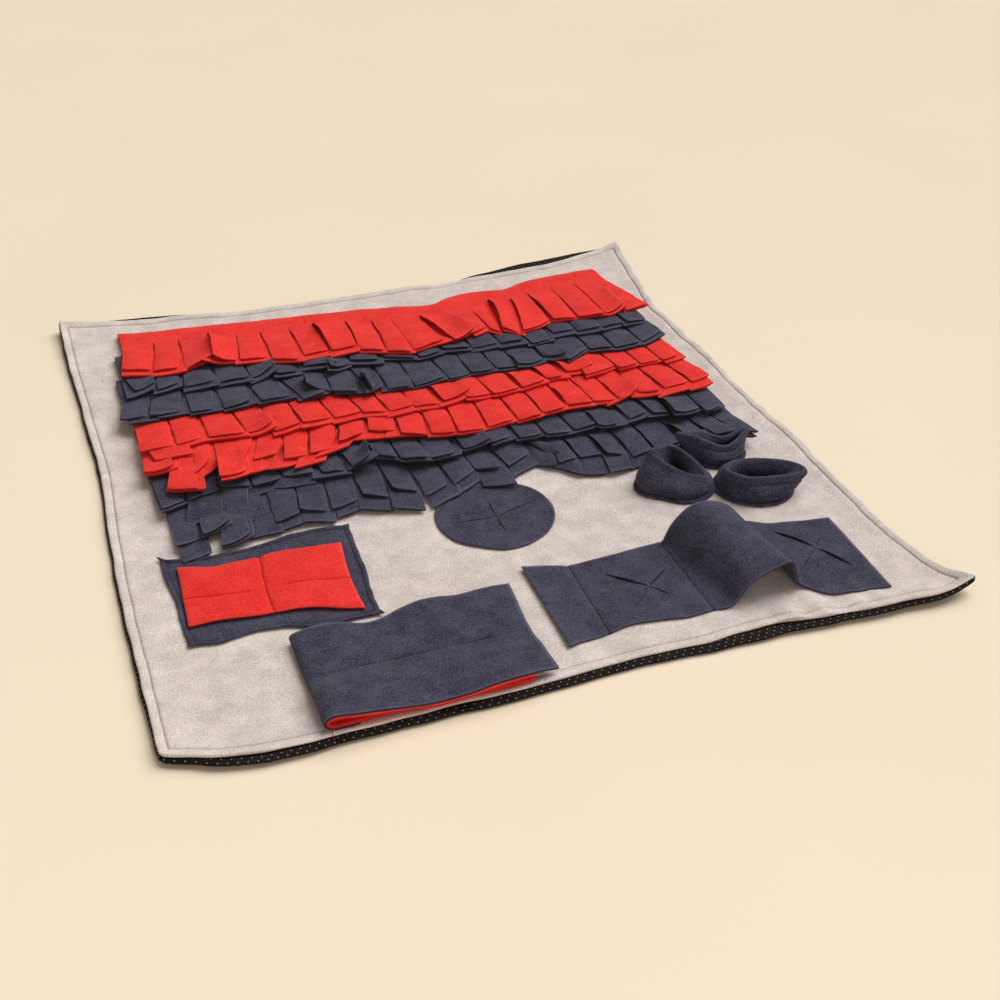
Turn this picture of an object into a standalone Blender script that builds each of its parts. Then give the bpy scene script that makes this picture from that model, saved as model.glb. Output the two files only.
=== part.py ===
"""Snuffle mat: a fleece mat on an anti-slip sheet, with seven rows of cut fringe, a round
patch, a patch with a small pocket piece, a folded pocket, a tunnel strip and three cups.

Metres, +Z up. The origin lies under the middle of the mat, on the surface that carries it.
X runs along the fringe rows and +Y points to the back of the mat. Tables are in millimetres.
"""

import math
import random
from collections import namedtuple

import bmesh
import bpy
from mathutils import Vector

MM = 0.001
GAP = 0.3  # air between two cloths that touch

# The mat: a top sheet and its backing, sewn together along a puffy edge.
MAT_WIDTH = 722.0
MAT_DEPTH = 806.0
BACKING_T = 1.6
FLEECE_T = 3.0
MAT_TOP = BACKING_T + GAP + FLEECE_T
LIFT_REACH = 40.0  # how far from its edge the mat rises off the surface

# Along each edge: where the edge runs, how high it is lifted, and how much of the backing
# shows outside the top sheet.
Edge = namedtuple("Edge", "along line lift reveal")
BACK_EDGE = (
    Edge(-361, 402, 6.0, 0.0),
    Edge(-280, 395, 2.0, 1.0),
    Edge(-210, 386, 0.5, 1.0),
    Edge(-120, 371, 0.0, -1.0),
    Edge(60, 370, 0.0, -1.0),
    Edge(125, 370, 1.0, 1.0),
    Edge(195, 382, 2.0, 4.0),
    Edge(260, 390, 3.0, 4.5),
    Edge(361, 403, 5.0, 0.5),
)
FRONT_EDGE = (
    Edge(-361, -392, 9.0, 1.0),
    Edge(-310, -406, 4.0, 2.0),
    Edge(-210, -406, 2.0, 2.0),
    Edge(0, -401, 1.5, 2.0),
    Edge(130, -397, 2.5, 2.0),
    Edge(250, -404, 4.0, 2.0),
    Edge(361, -402, 10.0, 1.0),
)
LEFT_EDGE = (
    Edge(-403, -360, 8.0, 1.5),
    Edge(-290, -365, 2.0, 2.0),
    Edge(-180, -366, 0.5, 2.0),
    Edge(50, -359, 0.5, 2.0),
    Edge(250, -361, 1.0, 2.0),
    Edge(403, -360, 5.0, 1.5),
)
RIGHT_EDGE = (
    Edge(-403, 366, 10.0, 0.0),
    Edge(-360, 352, 4.0, -1.0),
    Edge(-290, 343, 0.5, -1.0),
    Edge(-110, 342, 0.5, -1.0),
    Edge(100, 335, 0.5, -1.0),
    Edge(215, 333, 1.5, 0.5),
    Edge(310, 346, 1.0, -1.0),
    Edge(403, 357, 4.0, -1.0),
)

# Across the edge: the heights of both sheets at each distance from it.
Rim = namedtuple("Rim", "inset backing_low backing_top fleece_low fleece_top")
RIM = (
    Rim(0, 2.2, 4.4, 5.9, 7.4),
    Rim(4, 0.4, 2.2, 3.7, 8.2),
    Rim(12, 0.0, 1.6, 2.1, 4.3),
    Rim(20, 0.0, 1.6, 2.0, 4.9),
    Rim(40, 0.0, 1.6, 1.9, 4.9),
)
INNER_COLUMNS = 10
INNER_ROWS = 10

# The fringe: strips of two layers, each sewn down along its back line.
LAYER_T = 1.8
STRIP_T = 2 * LAYER_T + 0.1
HEADER_DEPTH = 28.0  # uncut cloth in front of the seam
HEADER_LEFT = -300.0
HEADER_RIGHT = 293.0
CLIMB = 0.095  # how steeply a strip rises over the strips in front of it
COVER_MARGIN = 11.0
STATIONS = (-300, -200, -100, 0, 100, 200, 300)
FIRST_SEAM = (354, 342, 330, 320, 322, 330, 338)
LAST_SEAM = (4, 12, 21, 28, 30, 30, 30)
Strip = namedtuple("Strip", "cloth tabs tips left_fan right_fan header_rise tip_rise")
STEADY = None  # the strip climbs evenly all the way
FRINGE = (
    Strip("red fleece", 19, (233, 217, 204, 190, 191, 194, 197), -10, 27, STEADY, STEADY),
    Strip("navy fleece", 19, (194, 186, 183, 178, 161, 167, 170), -11, 9, STEADY, STEADY),
    Strip("navy fleece", 20, (132, 125, 115, 104, 110, 111, 118), -20, 7, STEADY, STEADY),
    Strip("red fleece", 19, (62, 60, 61, 59, 61, 69, 70), -15, 14, STEADY, STEADY),
    Strip("red fleece", 20, (-12, -10, 6, 0, 0, -2, -1), -2, 10, STEADY, STEADY),
    Strip("navy fleece", 19, (-43, -36, -34, -46, -45, -39, -45), -11, 2, 2.6, 9.0),
    Strip("navy fleece", 20, (-116, -110, -107, -103, -100, -108, -100), -8, 10, 0.3, 4.0),
)
TAB_NARROWING = 1.8
TAB_SHIFT = 1.5
TAB_LENGTH_CHANGE = 4.0
TAB_LIFT = 3.0
LOWER_LAYER_SHOWS = (-1.0, 5.0)
Raised = namedtuple("Raised", "row tab left right")
RAISED_TABS = (
    Raised(1, 3, 9.0, 2.0),
    Raised(1, 13, 4.0, 8.0),
    Raised(3, 8, 10.0, 6.0),
    Raised(6, 8, 10.0, 7.0),
)

# Flat pieces sewn on in front of the fringe.
PATCH_T = 2.2
SLIT_WIDTH = 0.8
Slit = namedtuple("Slit", "x_from y_from x_to y_to")
DISC_SLITS = (Slit(-5, -127, -3, -183), Slit(-45, -157, 36, -152))
TUNNEL_SLITS = (
    Slit(62, -285, 98, -328),
    Slit(108, -288, 64, -335),
    Slit(239, -271, 272, -338),
    Slit(267, -293, 244, -324),
)
DISC_CENTRE = (-5.0, -151.0)
DISC_RADIUS = 58.5
DISC_SIDES = 28
PATCH_CORNERS = ((-321, -257), (-151, -265), (-144, -121), (-323, -116))
PATCH_HEM = 0.6
PATCH_POCKET_CORNERS = ((-315, -232), (-164, -256), (-159, -150), (-311, -139))
PATCH_POCKET_T = 1.8
PATCH_POCKET_PUFF = 1.4
PATCH_POCKET_MOUTH = 1.6

# The folded pocket: cloth and lining go under, round the left side and back over the top.
ROLL_LEFT = -237.5
ROLL_RIGHT = -33.5
ROLL_UNDER_RIGHT = -58.0
ROLL_T = 2.0
LINING_T = 1.8
LINING_SHOWS = 4.0  # how far the lining reaches out in front of the cloth over it
ROLL_SEAM_Y = -338.0
ROLL_SEAM_END = -70.0
ROLL_UNDER_Y = (-277.0, -375.0)
ROLL_TOP_Y = (-272.0, -398.0)
Wave = namedtuple("Wave", "x back seam front")
ROLL_TOP = (
    Wave(-238, 13.5, 9.0, 13.0),
    Wave(-228, 14.5, 9.0, 14.5),
    Wave(-200, 15.0, 9.0, 15.0),
    Wave(-168, 9.5, 9.0, 15.0),
    Wave(-128, 17.0, 9.0, 15.0),
    Wave(-75, 13.0, 9.2, 14.5),
    Wave(-33, 9.5, 10.0, 11.5),
)

# The tunnel strip from its left end to its right end: its underside at the back and at the
# front edge, heights above the mat.
TUNNEL_T = 2.2
Section = namedtuple("Section", "x_back y_back z_back x_front y_front z_front")
TUNNEL = (
    Section(-11, -243, 2.0, -14, -364, 3.5),
    Section(10, -250, 0.6, 8, -360, 1.2),
    Section(30, -253, 0.4, 27, -356, 0.4),
    Section(78, -255, 0.4, 76, -357, 0.4),
    Section(126, -250, 0.4, 126, -359, 0.4),
    Section(135, -247, 7.0, 141, -361, 4.0),
    Section(150, -245, 25.0, 168, -360, 15.0),
    Section(162, -244, 34.5, 191, -358, 27.0),
    Section(175, -244, 37.5, 203, -357, 33.5),
    Section(190, -244, 34.0, 209, -357, 31.0),
    Section(203, -245, 20.0, 212, -357, 16.0),
    Section(212, -246, 5.0, 214, -357, 4.0),
    Section(224, -248, 0.6, 229, -370, 0.6),
    Section(258, -257, 0.4, 259, -381, 0.8),
    Section(298, -265, 0.8, 292, -384, 2.6),
)
TUNNEL_ROWS = 3

# Soft cups: an oval foot and a rim that leans and is squeezed.
CUP_SIDES = 14
CUP_FOOT = 37.0
Cup = namedtuple("Cup", "foot rim_centre rim_long rim_short turn height sag sag_turn")
CUPS = (
    Cup((181.5, -158.5), (180, -166), 34, 23, 68, 36, 5, 75),
    Cup((243.5, -111.5), (240, -122), 36, 20, -22, 33, 6, -80),
    Cup((256.5, -188.0), (257, -197), 38, 22, -17, 33, 3, -100),
)
# Round the cup's wall, from the foot up, over the cuff and down inside: the share of the
# height and how far the ring lies outside the wall line.
Ring = namedtuple("Ring", "share out")
CUP_RINGS = (
    Ring(0.00, 0.0),
    Ring(0.05, 1.0),
    Ring(0.11, -1.2),
    Ring(0.45, -0.5),
    Ring(0.62, 2.0),
    Ring(0.92, 2.0),
    Ring(1.00, -1.0),
    Ring(0.93, -4.6),
    Ring(0.55, -5.2),
    Ring(0.16, -7.0),
)
CUP_CLEARANCE = 4.0  # between a cup's foot and the fringe

CLOTHS = {
    "grey fleece": ((0.56, 0.52, 0.48), 0.95),
    "grip backing": ((0.012, 0.010, 0.009), 0.80),
    "red fleece": ((0.80, 0.03, 0.02), 0.95),
    "navy fleece": ((0.030, 0.034, 0.055), 0.95),
}
SEED = 7


def clear_scene():
    for obj in list(bpy.data.objects):
        bpy.data.objects.remove(obj, do_unlink=True)


def make_cloths():
    for name, (colour, roughness) in CLOTHS.items():
        cloth = bpy.data.materials.new(name)
        cloth.use_nodes = True
        shader = cloth.node_tree.nodes["Principled BSDF"]
        shader.inputs["Base Color"].default_value = (*colour, 1.0)
        shader.inputs["Roughness"].default_value = roughness
        shader.inputs["Metallic"].default_value = 0.0


def mix(a, b, share):
    return a + (b - a) * share


def ease(share):
    share = min(1.0, max(0.0, share))
    return share * share * (3.0 - 2.0 * share)


def read(table, field, at):
    """The named column of a table at a place between two of its rows; the first column is the place."""
    if at <= table[0][0]:
        return getattr(table[0], field)
    for low, high in zip(table, table[1:]):
        if at <= high[0]:
            share = (at - low[0]) / (high[0] - low[0])
            return mix(getattr(low, field), getattr(high, field), share)
    return getattr(table[-1], field)


def at_station(values, x):
    """A value given at STATIONS, read at x."""
    step = STATIONS[1] - STATIONS[0]
    place = min(len(values) - 1.001, max(0.0, (x - STATIONS[0]) / step))
    low = int(place)
    return mix(values[low], values[low + 1], place - low)


def finish(name, mesh, cloth):
    """Turns a bmesh in millimetres into an object in metres with its cloth."""
    bmesh.ops.scale(mesh, vec=(MM, MM, MM), verts=mesh.verts)
    bmesh.ops.recalc_face_normals(mesh, faces=mesh.faces)
    data = bpy.data.meshes.new(name)
    mesh.to_mesh(data)
    mesh.free()
    data.materials.append(bpy.data.materials[cloth])
    obj = bpy.data.objects.new(name, data)
    bpy.context.scene.collection.objects.link(obj)
    return obj


def slab(name, u_lines, v_lines, place, cloth):
    """A sheet as one closed solid. place(u, v, side) gives its points; side is 0 or 1."""
    mesh = bmesh.new()
    columns = len(u_lines) - 1
    rows = len(v_lines) - 1
    bmesh.ops.create_grid(mesh, x_segments=columns, y_segments=rows, size=0.5)
    drawn = bmesh.ops.extrude_face_region(mesh, geom=mesh.faces[:])["geom"]
    upper = [item for item in drawn if isinstance(item, bmesh.types.BMVert)]
    bmesh.ops.translate(mesh, vec=(0.0, 0.0, 1.0), verts=upper)
    for vert in mesh.verts:
        u = u_lines[round((vert.co.x + 0.5) * columns)]
        v = v_lines[round((vert.co.y + 0.5) * rows)]
        vert.co = Vector(place(u, v, round(vert.co.z)))
    return finish(name, mesh, cloth)


def cut_slits(obj, slits):
    """Cuts narrow slits down through a flat part of a cloth."""
    for slit in slits:
        start = Vector((slit.x_from, slit.y_from, MAT_TOP))
        end = Vector((slit.x_to, slit.y_to, MAT_TOP))
        mesh = bmesh.new()
        bmesh.ops.create_cube(mesh, size=1.0)
        size = ((end - start).length, SLIT_WIDTH, 4 * (PATCH_T + GAP))
        bmesh.ops.scale(mesh, vec=size, verts=mesh.verts)
        turn = Vector((1.0, 0.0, 0.0)).rotation_difference(end - start).to_matrix()
        bmesh.ops.rotate(mesh, matrix=turn, verts=mesh.verts)
        bmesh.ops.translate(mesh, vec=(start + end) / 2, verts=mesh.verts)
        cutter = finish("slit", mesh, "navy fleece")
        cutter.hide_render = True
        cut = obj.modifiers.new("slit", "BOOLEAN")
        cut.operation = "DIFFERENCE"
        cut.solver = "EXACT"
        cut.object = cutter


def evenly(first, last, count):
    return [mix(first, last, index / count) for index in range(count + 1)]


# ---- the mat ----


def mat_lines(size, inner):
    """Grid places from 0 to 1: the lines of the rim at both ends and even lines between."""
    rim = [row.inset / size for row in RIM]
    middle = evenly(rim[-1], 1.0 - rim[-1], inner)
    return rim[:-1] + middle + [1.0 - place for place in reversed(rim[:-1])]


def mat_plan(u, v, reveal_share):
    """Plan position of a grid place, drawn in from the edge by the reveal."""
    along_x = mix(-MAT_WIDTH / 2, MAT_WIDTH / 2, u)
    along_y = mix(-MAT_DEPTH / 2, MAT_DEPTH / 2, v)
    left = read(LEFT_EDGE, "line", along_y) + reveal_share * read(LEFT_EDGE, "reveal", along_y)
    right = read(RIGHT_EDGE, "line", along_y) - reveal_share * read(RIGHT_EDGE, "reveal", along_y)
    front = read(FRONT_EDGE, "line", along_x) + reveal_share * read(FRONT_EDGE, "reveal", along_x)
    back = read(BACK_EDGE, "line", along_x) - reveal_share * read(BACK_EDGE, "reveal", along_x)
    return mix(left, right, u), mix(front, back, v)


def mat_lift(u, v):
    """How far the mat is off the surface: its corners and parts of its edges curl up."""
    along_x = mix(-MAT_WIDTH / 2, MAT_WIDTH / 2, u)
    along_y = mix(-MAT_DEPTH / 2, MAT_DEPTH / 2, v)
    sides = (
        (u * MAT_WIDTH, read(LEFT_EDGE, "lift", along_y)),
        ((1 - u) * MAT_WIDTH, read(RIGHT_EDGE, "lift", along_y)),
        (v * MAT_DEPTH, read(FRONT_EDGE, "lift", along_x)),
        ((1 - v) * MAT_DEPTH, read(BACK_EDGE, "lift", along_x)),
    )
    return max(lift * max(0.0, 1.0 - inset / LIFT_REACH) ** 3 for inset, lift in sides)


def mat_sheet(name, low, top, reveal_share, cloth):
    def place(u, v, side):
        x, y = mat_plan(u, v, reveal_share)
        inset = min(u, 1 - u) * MAT_WIDTH
        inset = min(inset, min(v, 1 - v) * MAT_DEPTH)
        return x, y, mat_lift(u, v) + read(RIM, top if side else low, inset)

    columns = mat_lines(MAT_WIDTH, INNER_COLUMNS)
    rows = mat_lines(MAT_DEPTH, INNER_ROWS)
    return slab(name, columns, rows, place, cloth)


# ---- the fringe ----


def seam_y(row, x):
    share = row / (len(FRINGE) - 1)
    return mix(at_station(FIRST_SEAM, x), at_station(LAST_SEAM, x), share)


def strip_height(row, along, length):
    """Underside of a strip above the mat, at a distance from its seam."""
    strip = FRINGE[row]
    if strip.tip_rise is STEADY:
        return GAP + CLIMB * along
    if along <= HEADER_DEPTH:
        return GAP + strip.header_rise * along / HEADER_DEPTH
    share = (along - HEADER_DEPTH) / (length - HEADER_DEPTH)
    return GAP + mix(strip.header_rise, strip.tip_rise, share)


def clear_of_cups(x, y, half):
    """Moves a tip back to where a tab of this half width stays off the cups' feet."""
    reach = CUP_FOOT + CUP_CLEARANCE
    for cup in CUPS:
        for edge in (x - half, x, x + half):
            across = edge - cup.foot[0]
            if abs(across) < reach:
                y = max(y, cup.foot[1] + math.sqrt(reach**2 - across**2))
    return y


def fringe_header(mesh, row):
    """The sewn part of a strip: one cell a tab, two layers high. Returns its front faces."""
    tabs = FRINGE[row].tabs
    bmesh.ops.create_grid(mesh, x_segments=tabs, y_segments=1, size=0.5)
    drawn = mesh.faces[:]
    for _ in range(2):
        drawn = bmesh.ops.extrude_face_region(mesh, geom=drawn)["geom"]
        lifted = [item for item in drawn if isinstance(item, bmesh.types.BMVert)]
        bmesh.ops.translate(mesh, vec=(0.0, 0.0, 1.0), verts=lifted)
    fronts = {}
    for face in mesh.faces:
        centre = face.calc_center_median()
        if centre.y < -0.49 and abs(face.normal.y) > 0.5:
            fronts[int((centre.x + 0.5) * tabs), int(centre.z)] = face
    for vert in mesh.verts:
        x = mix(HEADER_LEFT, HEADER_RIGHT, vert.co.x + 0.5)
        along = HEADER_DEPTH * (0.5 - vert.co.y)
        z = MAT_TOP + strip_height(row, along, 2 * HEADER_DEPTH) + vert.co.z * STRIP_T / 2
        vert.co = Vector((x, seam_y(row, x) - along, z))
    return fronts


def draw_out(mesh, face, corners):
    """Draws one end face out to four new corners, given as corners[right][high]."""
    centre = face.calc_center_median()
    end = bmesh.ops.extrude_discrete_faces(mesh, faces=[face])["faces"][0]
    for vert in end.verts:
        vert.co = Vector(corners[vert.co.x > centre.x][vert.co.z > centre.z])
    return end


def tab_end(x, y, half, low, thickness, lifts):
    """Corners of a cross-section through a tab."""
    return [
        [(x + side * half, y, low + lift), (x + side * half, y, low + lift + thickness)]
        for side, lift in zip((-1, 1), lifts)
    ]


def fringe_strip(row, chance):
    strip = FRINGE[row]
    mesh = bmesh.new()
    fronts = fringe_header(mesh, row)
    raised = {item.tab: (item.left, item.right) for item in RAISED_TABS if item.row == row + 1}
    for tab in range(strip.tabs):
        share = (tab + 0.5) / strip.tabs
        root = mix(HEADER_LEFT, HEADER_RIGHT, share)
        pitch = (HEADER_RIGHT - HEADER_LEFT) / strip.tabs
        half = pitch / 2 - TAB_NARROWING
        fan = mix(strip.left_fan, strip.right_fan, share) + chance.uniform(-TAB_SHIFT, TAB_SHIFT)
        seam = seam_y(row, root)
        change = chance.uniform(-TAB_LENGTH_CHANGE, TAB_LENGTH_CHANGE)
        tip = clear_of_cups(root + fan, at_station(strip.tips, root) + change, half)
        length = seam - tip
        cover = 2 * HEADER_DEPTH
        if row:
            cover = seam - at_station(FRINGE[row - 1].tips, root) + COVER_MARGIN
        cover = min(cover, length - COVER_MARGIN)
        lifts = raised.get(tab, [chance.uniform(0.0, TAB_LIFT) for _ in range(2)])

        low = MAT_TOP + strip_height(row, cover, length) + STRIP_T - LAYER_T
        bend_x = root + fan * cover / length
        bend = tab_end(bend_x, seam - cover, half, low, LAYER_T, (0, 0))
        face = draw_out(mesh, fronts[tab, 1], bend)
        low = MAT_TOP + strip_height(row, length, length) + STRIP_T - LAYER_T
        draw_out(mesh, face, tab_end(root + fan, tip, half, low, LAYER_T, lifts))

        under_tip = clear_of_cups(root + fan, tip - chance.uniform(*LOWER_LAYER_SHOWS), half)
        low = MAT_TOP + strip_height(row, length, length)
        draw_out(mesh, fronts[tab, 0], tab_end(root + fan, under_tip, half, low, LAYER_T, (0, 0)))
    return finish(f"fringe_row_{row + 1}", mesh, strip.cloth)


# ---- flat pieces ----


def disc():
    mesh = bmesh.new()
    bmesh.ops.create_circle(mesh, cap_ends=True, segments=DISC_SIDES, radius=DISC_RADIUS)
    drawn = bmesh.ops.extrude_face_region(mesh, geom=mesh.faces[:])["geom"]
    upper = [item for item in drawn if isinstance(item, bmesh.types.BMVert)]
    bmesh.ops.translate(mesh, vec=(0.0, 0.0, PATCH_T), verts=upper)
    bmesh.ops.translate(mesh, vec=(*DISC_CENTRE, MAT_TOP + GAP), verts=mesh.verts)
    cut_slits(finish("disc", mesh, "navy fleece"), DISC_SLITS)


def on_corners(corners, u, v):
    """A place on a four-sided piece; its corners go round from the front left."""
    front = Vector(corners[0]).lerp(Vector(corners[1]), u)
    back = Vector(corners[3]).lerp(Vector(corners[2]), u)
    return front.lerp(back, v)


def patch():
    def place(u, v, side):
        x, y = on_corners(PATCH_CORNERS, u, v)
        hem = PATCH_HEM if u in (0.0, 1.0) or v in (0.0, 1.0) else 0.0
        return x, y, MAT_TOP + GAP + side * (PATCH_T + hem)

    lines = (0.0, 0.03, 0.5, 0.97, 1.0)
    return slab("patch", lines, lines, place, "navy fleece")


def patch_pocket():
    """Four cells puffed up between the seams, with the front edge a little open."""

    def place(u, v, side):
        x, y = on_corners(PATCH_POCKET_CORNERS, u, v)
        puff = PATCH_POCKET_PUFF * abs(math.sin(2 * math.pi * u) * math.sin(2 * math.pi * v))
        mouth = PATCH_POCKET_MOUTH * abs(math.sin(2 * math.pi * u)) * max(0.0, 1.0 - v / 0.25)
        low = MAT_TOP + GAP + PATCH_T + GAP
        return x, y, low + puff + mouth + side * PATCH_POCKET_T

    across = evenly(0.0, 1.0, 8)
    up = (0.0, 0.12, 0.25, 0.5, 0.75, 1.0)
    return slab("patch_pocket", across, up, place, "red fleece")


# ---- the folded pocket ----


def roll_top(x, y):
    """Outer top of the folded pocket above the mat: pinched along its seam, waved at the edges."""
    back, front = ROLL_TOP_Y
    seam = read(ROLL_TOP, "seam", x)
    if y > ROLL_SEAM_Y:
        return mix(seam, read(ROLL_TOP, "back", x), ease((y - ROLL_SEAM_Y) / (back - ROLL_SEAM_Y)))
    return mix(seam, read(ROLL_TOP, "front", x), ease(2 * (ROLL_SEAM_Y - y) / (ROLL_SEAM_Y - front)))


def roll_layer(name, depth, thickness, cloth):
    """One cloth of the folded pocket; depth is how far it lies inside the outermost face."""
    under = [(0.0, x) for x in (ROLL_UNDER_RIGHT, -140.0, -190.0, -226.0)]
    fold = [(turn, None) for turn in (0.25, 0.5, 0.75)]
    over = [(1.0, x) for x in (-226.0, -200.0, -168.0, -128.0, -75.0, ROLL_UNDER_RIGHT)]
    if not depth:
        over.append((1.0, ROLL_RIGHT))

    def place(station, v, side):
        turn, x = station
        inside = depth + side * thickness
        back, front = (mix(low, top, turn) for low, top in zip(ROLL_UNDER_Y, ROLL_TOP_Y))
        y = mix(back, front, v)
        if depth and v == 1.0:
            y -= LINING_SHOWS
        if x is None:
            high = roll_top(-226.0, y)
            radius = (high - GAP) / 2
            angle = math.pi * turn
            out = radius + 4.0 - inside
            centre = ROLL_LEFT + radius + 4.0
            return (
                centre - out * math.sin(angle),
                y,
                MAT_TOP + GAP + radius - (radius - inside) * math.cos(angle),
            )
        if turn:
            return x, y, MAT_TOP + roll_top(x, y) - inside
        return x, y, MAT_TOP + GAP + inside

    rows = (0.0, 0.25, 0.52, 0.64, 0.8, 1.0)
    return slab(name, under + fold + over, rows, place, cloth)


# ---- the tunnel ----


def tunnel_strip():
    def point(index, v):
        section = TUNNEL[index]
        return Vector((
            mix(section.x_back, section.x_front, v),
            mix(section.y_back, section.y_front, v),
            MAT_TOP + mix(section.z_back, section.z_front, v),
        ))

    def place(index, v, side):
        here = point(index, v)
        if not side:
            return here
        ahead = point(min(index + 1, len(TUNNEL) - 1), v) - point(max(index - 1, 0), v)
        up = Vector((-ahead.z, 0.0, ahead.x)).normalized()
        return here + up * TUNNEL_T

    rows = evenly(0.0, 1.0, TUNNEL_ROWS)
    strip = slab("tunnel_strip", range(len(TUNNEL)), rows, place, "navy fleece")
    cut_slits(strip, TUNNEL_SLITS)


# ---- the cups ----


def cup_point(cup, angle, share, out):
    """A point on the cup's wall line, moved outwards by out; share is its share of the height."""
    turn = math.radians(cup.turn)
    foot = Vector(cup.foot) + Vector((math.cos(angle), math.sin(angle))) * (CUP_FOOT + out)
    long_way = Vector((math.cos(turn), math.sin(turn))) * math.cos(angle - turn)
    short_way = Vector((-math.sin(turn), math.cos(turn))) * math.sin(angle - turn)
    rim = Vector(cup.rim_centre) + long_way * (cup.rim_long + out) + short_way * (cup.rim_short + out)
    plan = foot.lerp(rim, share**1.5)
    height = cup.height - cup.sag * (1 + math.cos(angle - math.radians(cup.sag_turn))) / 2
    return Vector((plan.x, plan.y, MAT_TOP + GAP + share * height))


def make_cup(number, cup):
    mesh = bmesh.new()
    bmesh.ops.create_circle(mesh, cap_ends=True, segments=CUP_SIDES, radius=1.0)
    drawn = bmesh.ops.extrude_face_region(mesh, geom=mesh.faces[:])["geom"]
    lid = next(item for item in drawn if isinstance(item, bmesh.types.BMFace))
    bmesh.ops.translate(mesh, vec=(0.0, 0.0, 1.0), verts=lid.verts)
    for _ in CUP_RINGS[2:]:
        lid = bmesh.ops.extrude_discrete_faces(mesh, faces=[lid])["faces"][0]
        bmesh.ops.translate(mesh, vec=(0.0, 0.0, 1.0), verts=lid.verts)
    for vert in mesh.verts:
        ring = CUP_RINGS[round(vert.co.z)]
        vert.co = cup_point(cup, math.atan2(vert.co.y, vert.co.x), ring.share, ring.out)
    return finish(f"cup_{number}", mesh, "navy fleece")


def build_mat():
    clear_scene()
    make_cloths()
    chance = random.Random(SEED)
    mat_sheet("base_backing", "backing_low", "backing_top", 0.0, "grip backing")
    mat_sheet("base_fleece", "fleece_low", "fleece_top", 1.0, "grey fleece")
    for row in range(len(FRINGE)):
        fringe_strip(row, chance)
    disc()
    patch()
    patch_pocket()
    roll_layer("roll_pocket", 0.0, ROLL_T, "navy fleece")
    roll_layer("roll_lining", ROLL_T + GAP, LINING_T, "red fleece")
    tunnel_strip()
    for number, cup in enumerate(CUPS, start=1):
        make_cup(number, cup)


build_mat()
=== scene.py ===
"""Looks of the snuffle mat: fleece sheet on a dotted backing, seven rows of cut fringe, a slit
disc, a patch with a pocket piece, a folded pocket, an arched strip and three soft cups.

Tables and shapes are in millimetres in the row frame and become metres when a piece is finished.
"""

import math
import random
from collections import namedtuple

import bmesh
import bpy
from mathutils import Matrix, Vector, noise


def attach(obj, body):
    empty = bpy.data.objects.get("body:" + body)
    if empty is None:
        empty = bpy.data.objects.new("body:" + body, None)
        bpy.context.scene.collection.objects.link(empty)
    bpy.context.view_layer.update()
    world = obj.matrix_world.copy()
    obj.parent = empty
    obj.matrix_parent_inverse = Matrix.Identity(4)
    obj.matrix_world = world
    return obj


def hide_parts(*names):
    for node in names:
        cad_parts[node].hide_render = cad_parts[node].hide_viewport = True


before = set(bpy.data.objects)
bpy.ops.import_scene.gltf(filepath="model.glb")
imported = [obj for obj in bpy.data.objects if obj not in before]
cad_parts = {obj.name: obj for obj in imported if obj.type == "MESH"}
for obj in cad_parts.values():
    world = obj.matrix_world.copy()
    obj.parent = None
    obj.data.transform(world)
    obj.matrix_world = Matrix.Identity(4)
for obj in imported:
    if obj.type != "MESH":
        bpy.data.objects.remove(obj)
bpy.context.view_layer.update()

MM = 0.001
GAP = 0.3  # between a piece and what it lies on
MAT_WIDTH = 722.0
MAT_DEPTH = 806.0
MAT_TOP = 4.9  # of the fleece, away from the mat's edge


# ---- small sums and tables ----


def mix(a, b, share):
    return a + (b - a) * share


def clamp(value):
    return min(1.0, max(0.0, value))


def ease(share):
    share = clamp(share)
    return share * share * (3.0 - 2.0 * share)


def bell(offset, reach):
    """1 in the middle of a mound or groove, 0 beyond its reach."""
    share = 1.0 - (offset / reach) ** 2
    return share * share if share > 0 else 0.0


def hill(share):
    """0 at both ends of a span, 1 in its middle."""
    return math.sin(math.pi * share)


def rows(kind, *numbers):
    """A table whose rows all have the same named columns."""
    return tuple(kind(*row) for row in numbers)


def evenly(first, last, count):
    return [mix(first, last, index / count) for index in range(count + 1)]


def hermite(share):
    """Weights of a smooth span's two ends and of its slopes there."""
    square, cube = share * share, share**3
    ends = 2 * cube - 3 * square + 1, 3 * square - 2 * cube
    return *ends, cube - 2 * square + share, cube - square


def curve(table, field, at):
    """A named column of a table as a smooth curve; the table's first column is the place."""
    if at <= table[0][0]:
        return getattr(table[0], field)
    if at >= table[-1][0]:
        return getattr(table[-1], field)
    index = next(i for i in range(1, len(table)) if at <= table[i][0])
    low, high = table[index - 1], table[index]
    before, after = table[max(index - 2, 0)], table[min(index + 1, len(table) - 1)]
    span = high[0] - low[0]
    a, b = getattr(low, field), getattr(high, field)
    slope_a = (b - getattr(before, field)) / (high[0] - before[0]) * span
    slope_b = (getattr(after, field) - a) / (after[0] - low[0]) * span
    weights = hermite((at - low[0]) / span)
    return sum(weight * part for weight, part in zip(weights, (a, b, slope_a, slope_b)))


def wander(x, y, size, seed):
    """Soft unevenness between -1 and 1 whose bumps are about size across."""
    return noise.noise(Vector((x / size, y / size, seed)))


# ---- finishes ----


def add_node(tree, kind, inputs=None, **settings):
    """A shader node; each input is a value or a (node, output) pair to link it from."""
    node = tree.nodes.new(kind)
    for name, value in settings.items():
        setattr(node, name, value)
    for socket, item in (inputs or {}).items():
        if isinstance(item, tuple) and isinstance(item[0], bpy.types.Node):
            tree.links.new(item[0].outputs[item[1]], node.inputs[socket])
        else:
            node.inputs[socket].default_value = item
    return node


def maths(tree, operation, *terms):
    node = add_node(tree, "ShaderNodeMath", dict(enumerate(terms)), operation=operation)
    return node, "Value"


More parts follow.
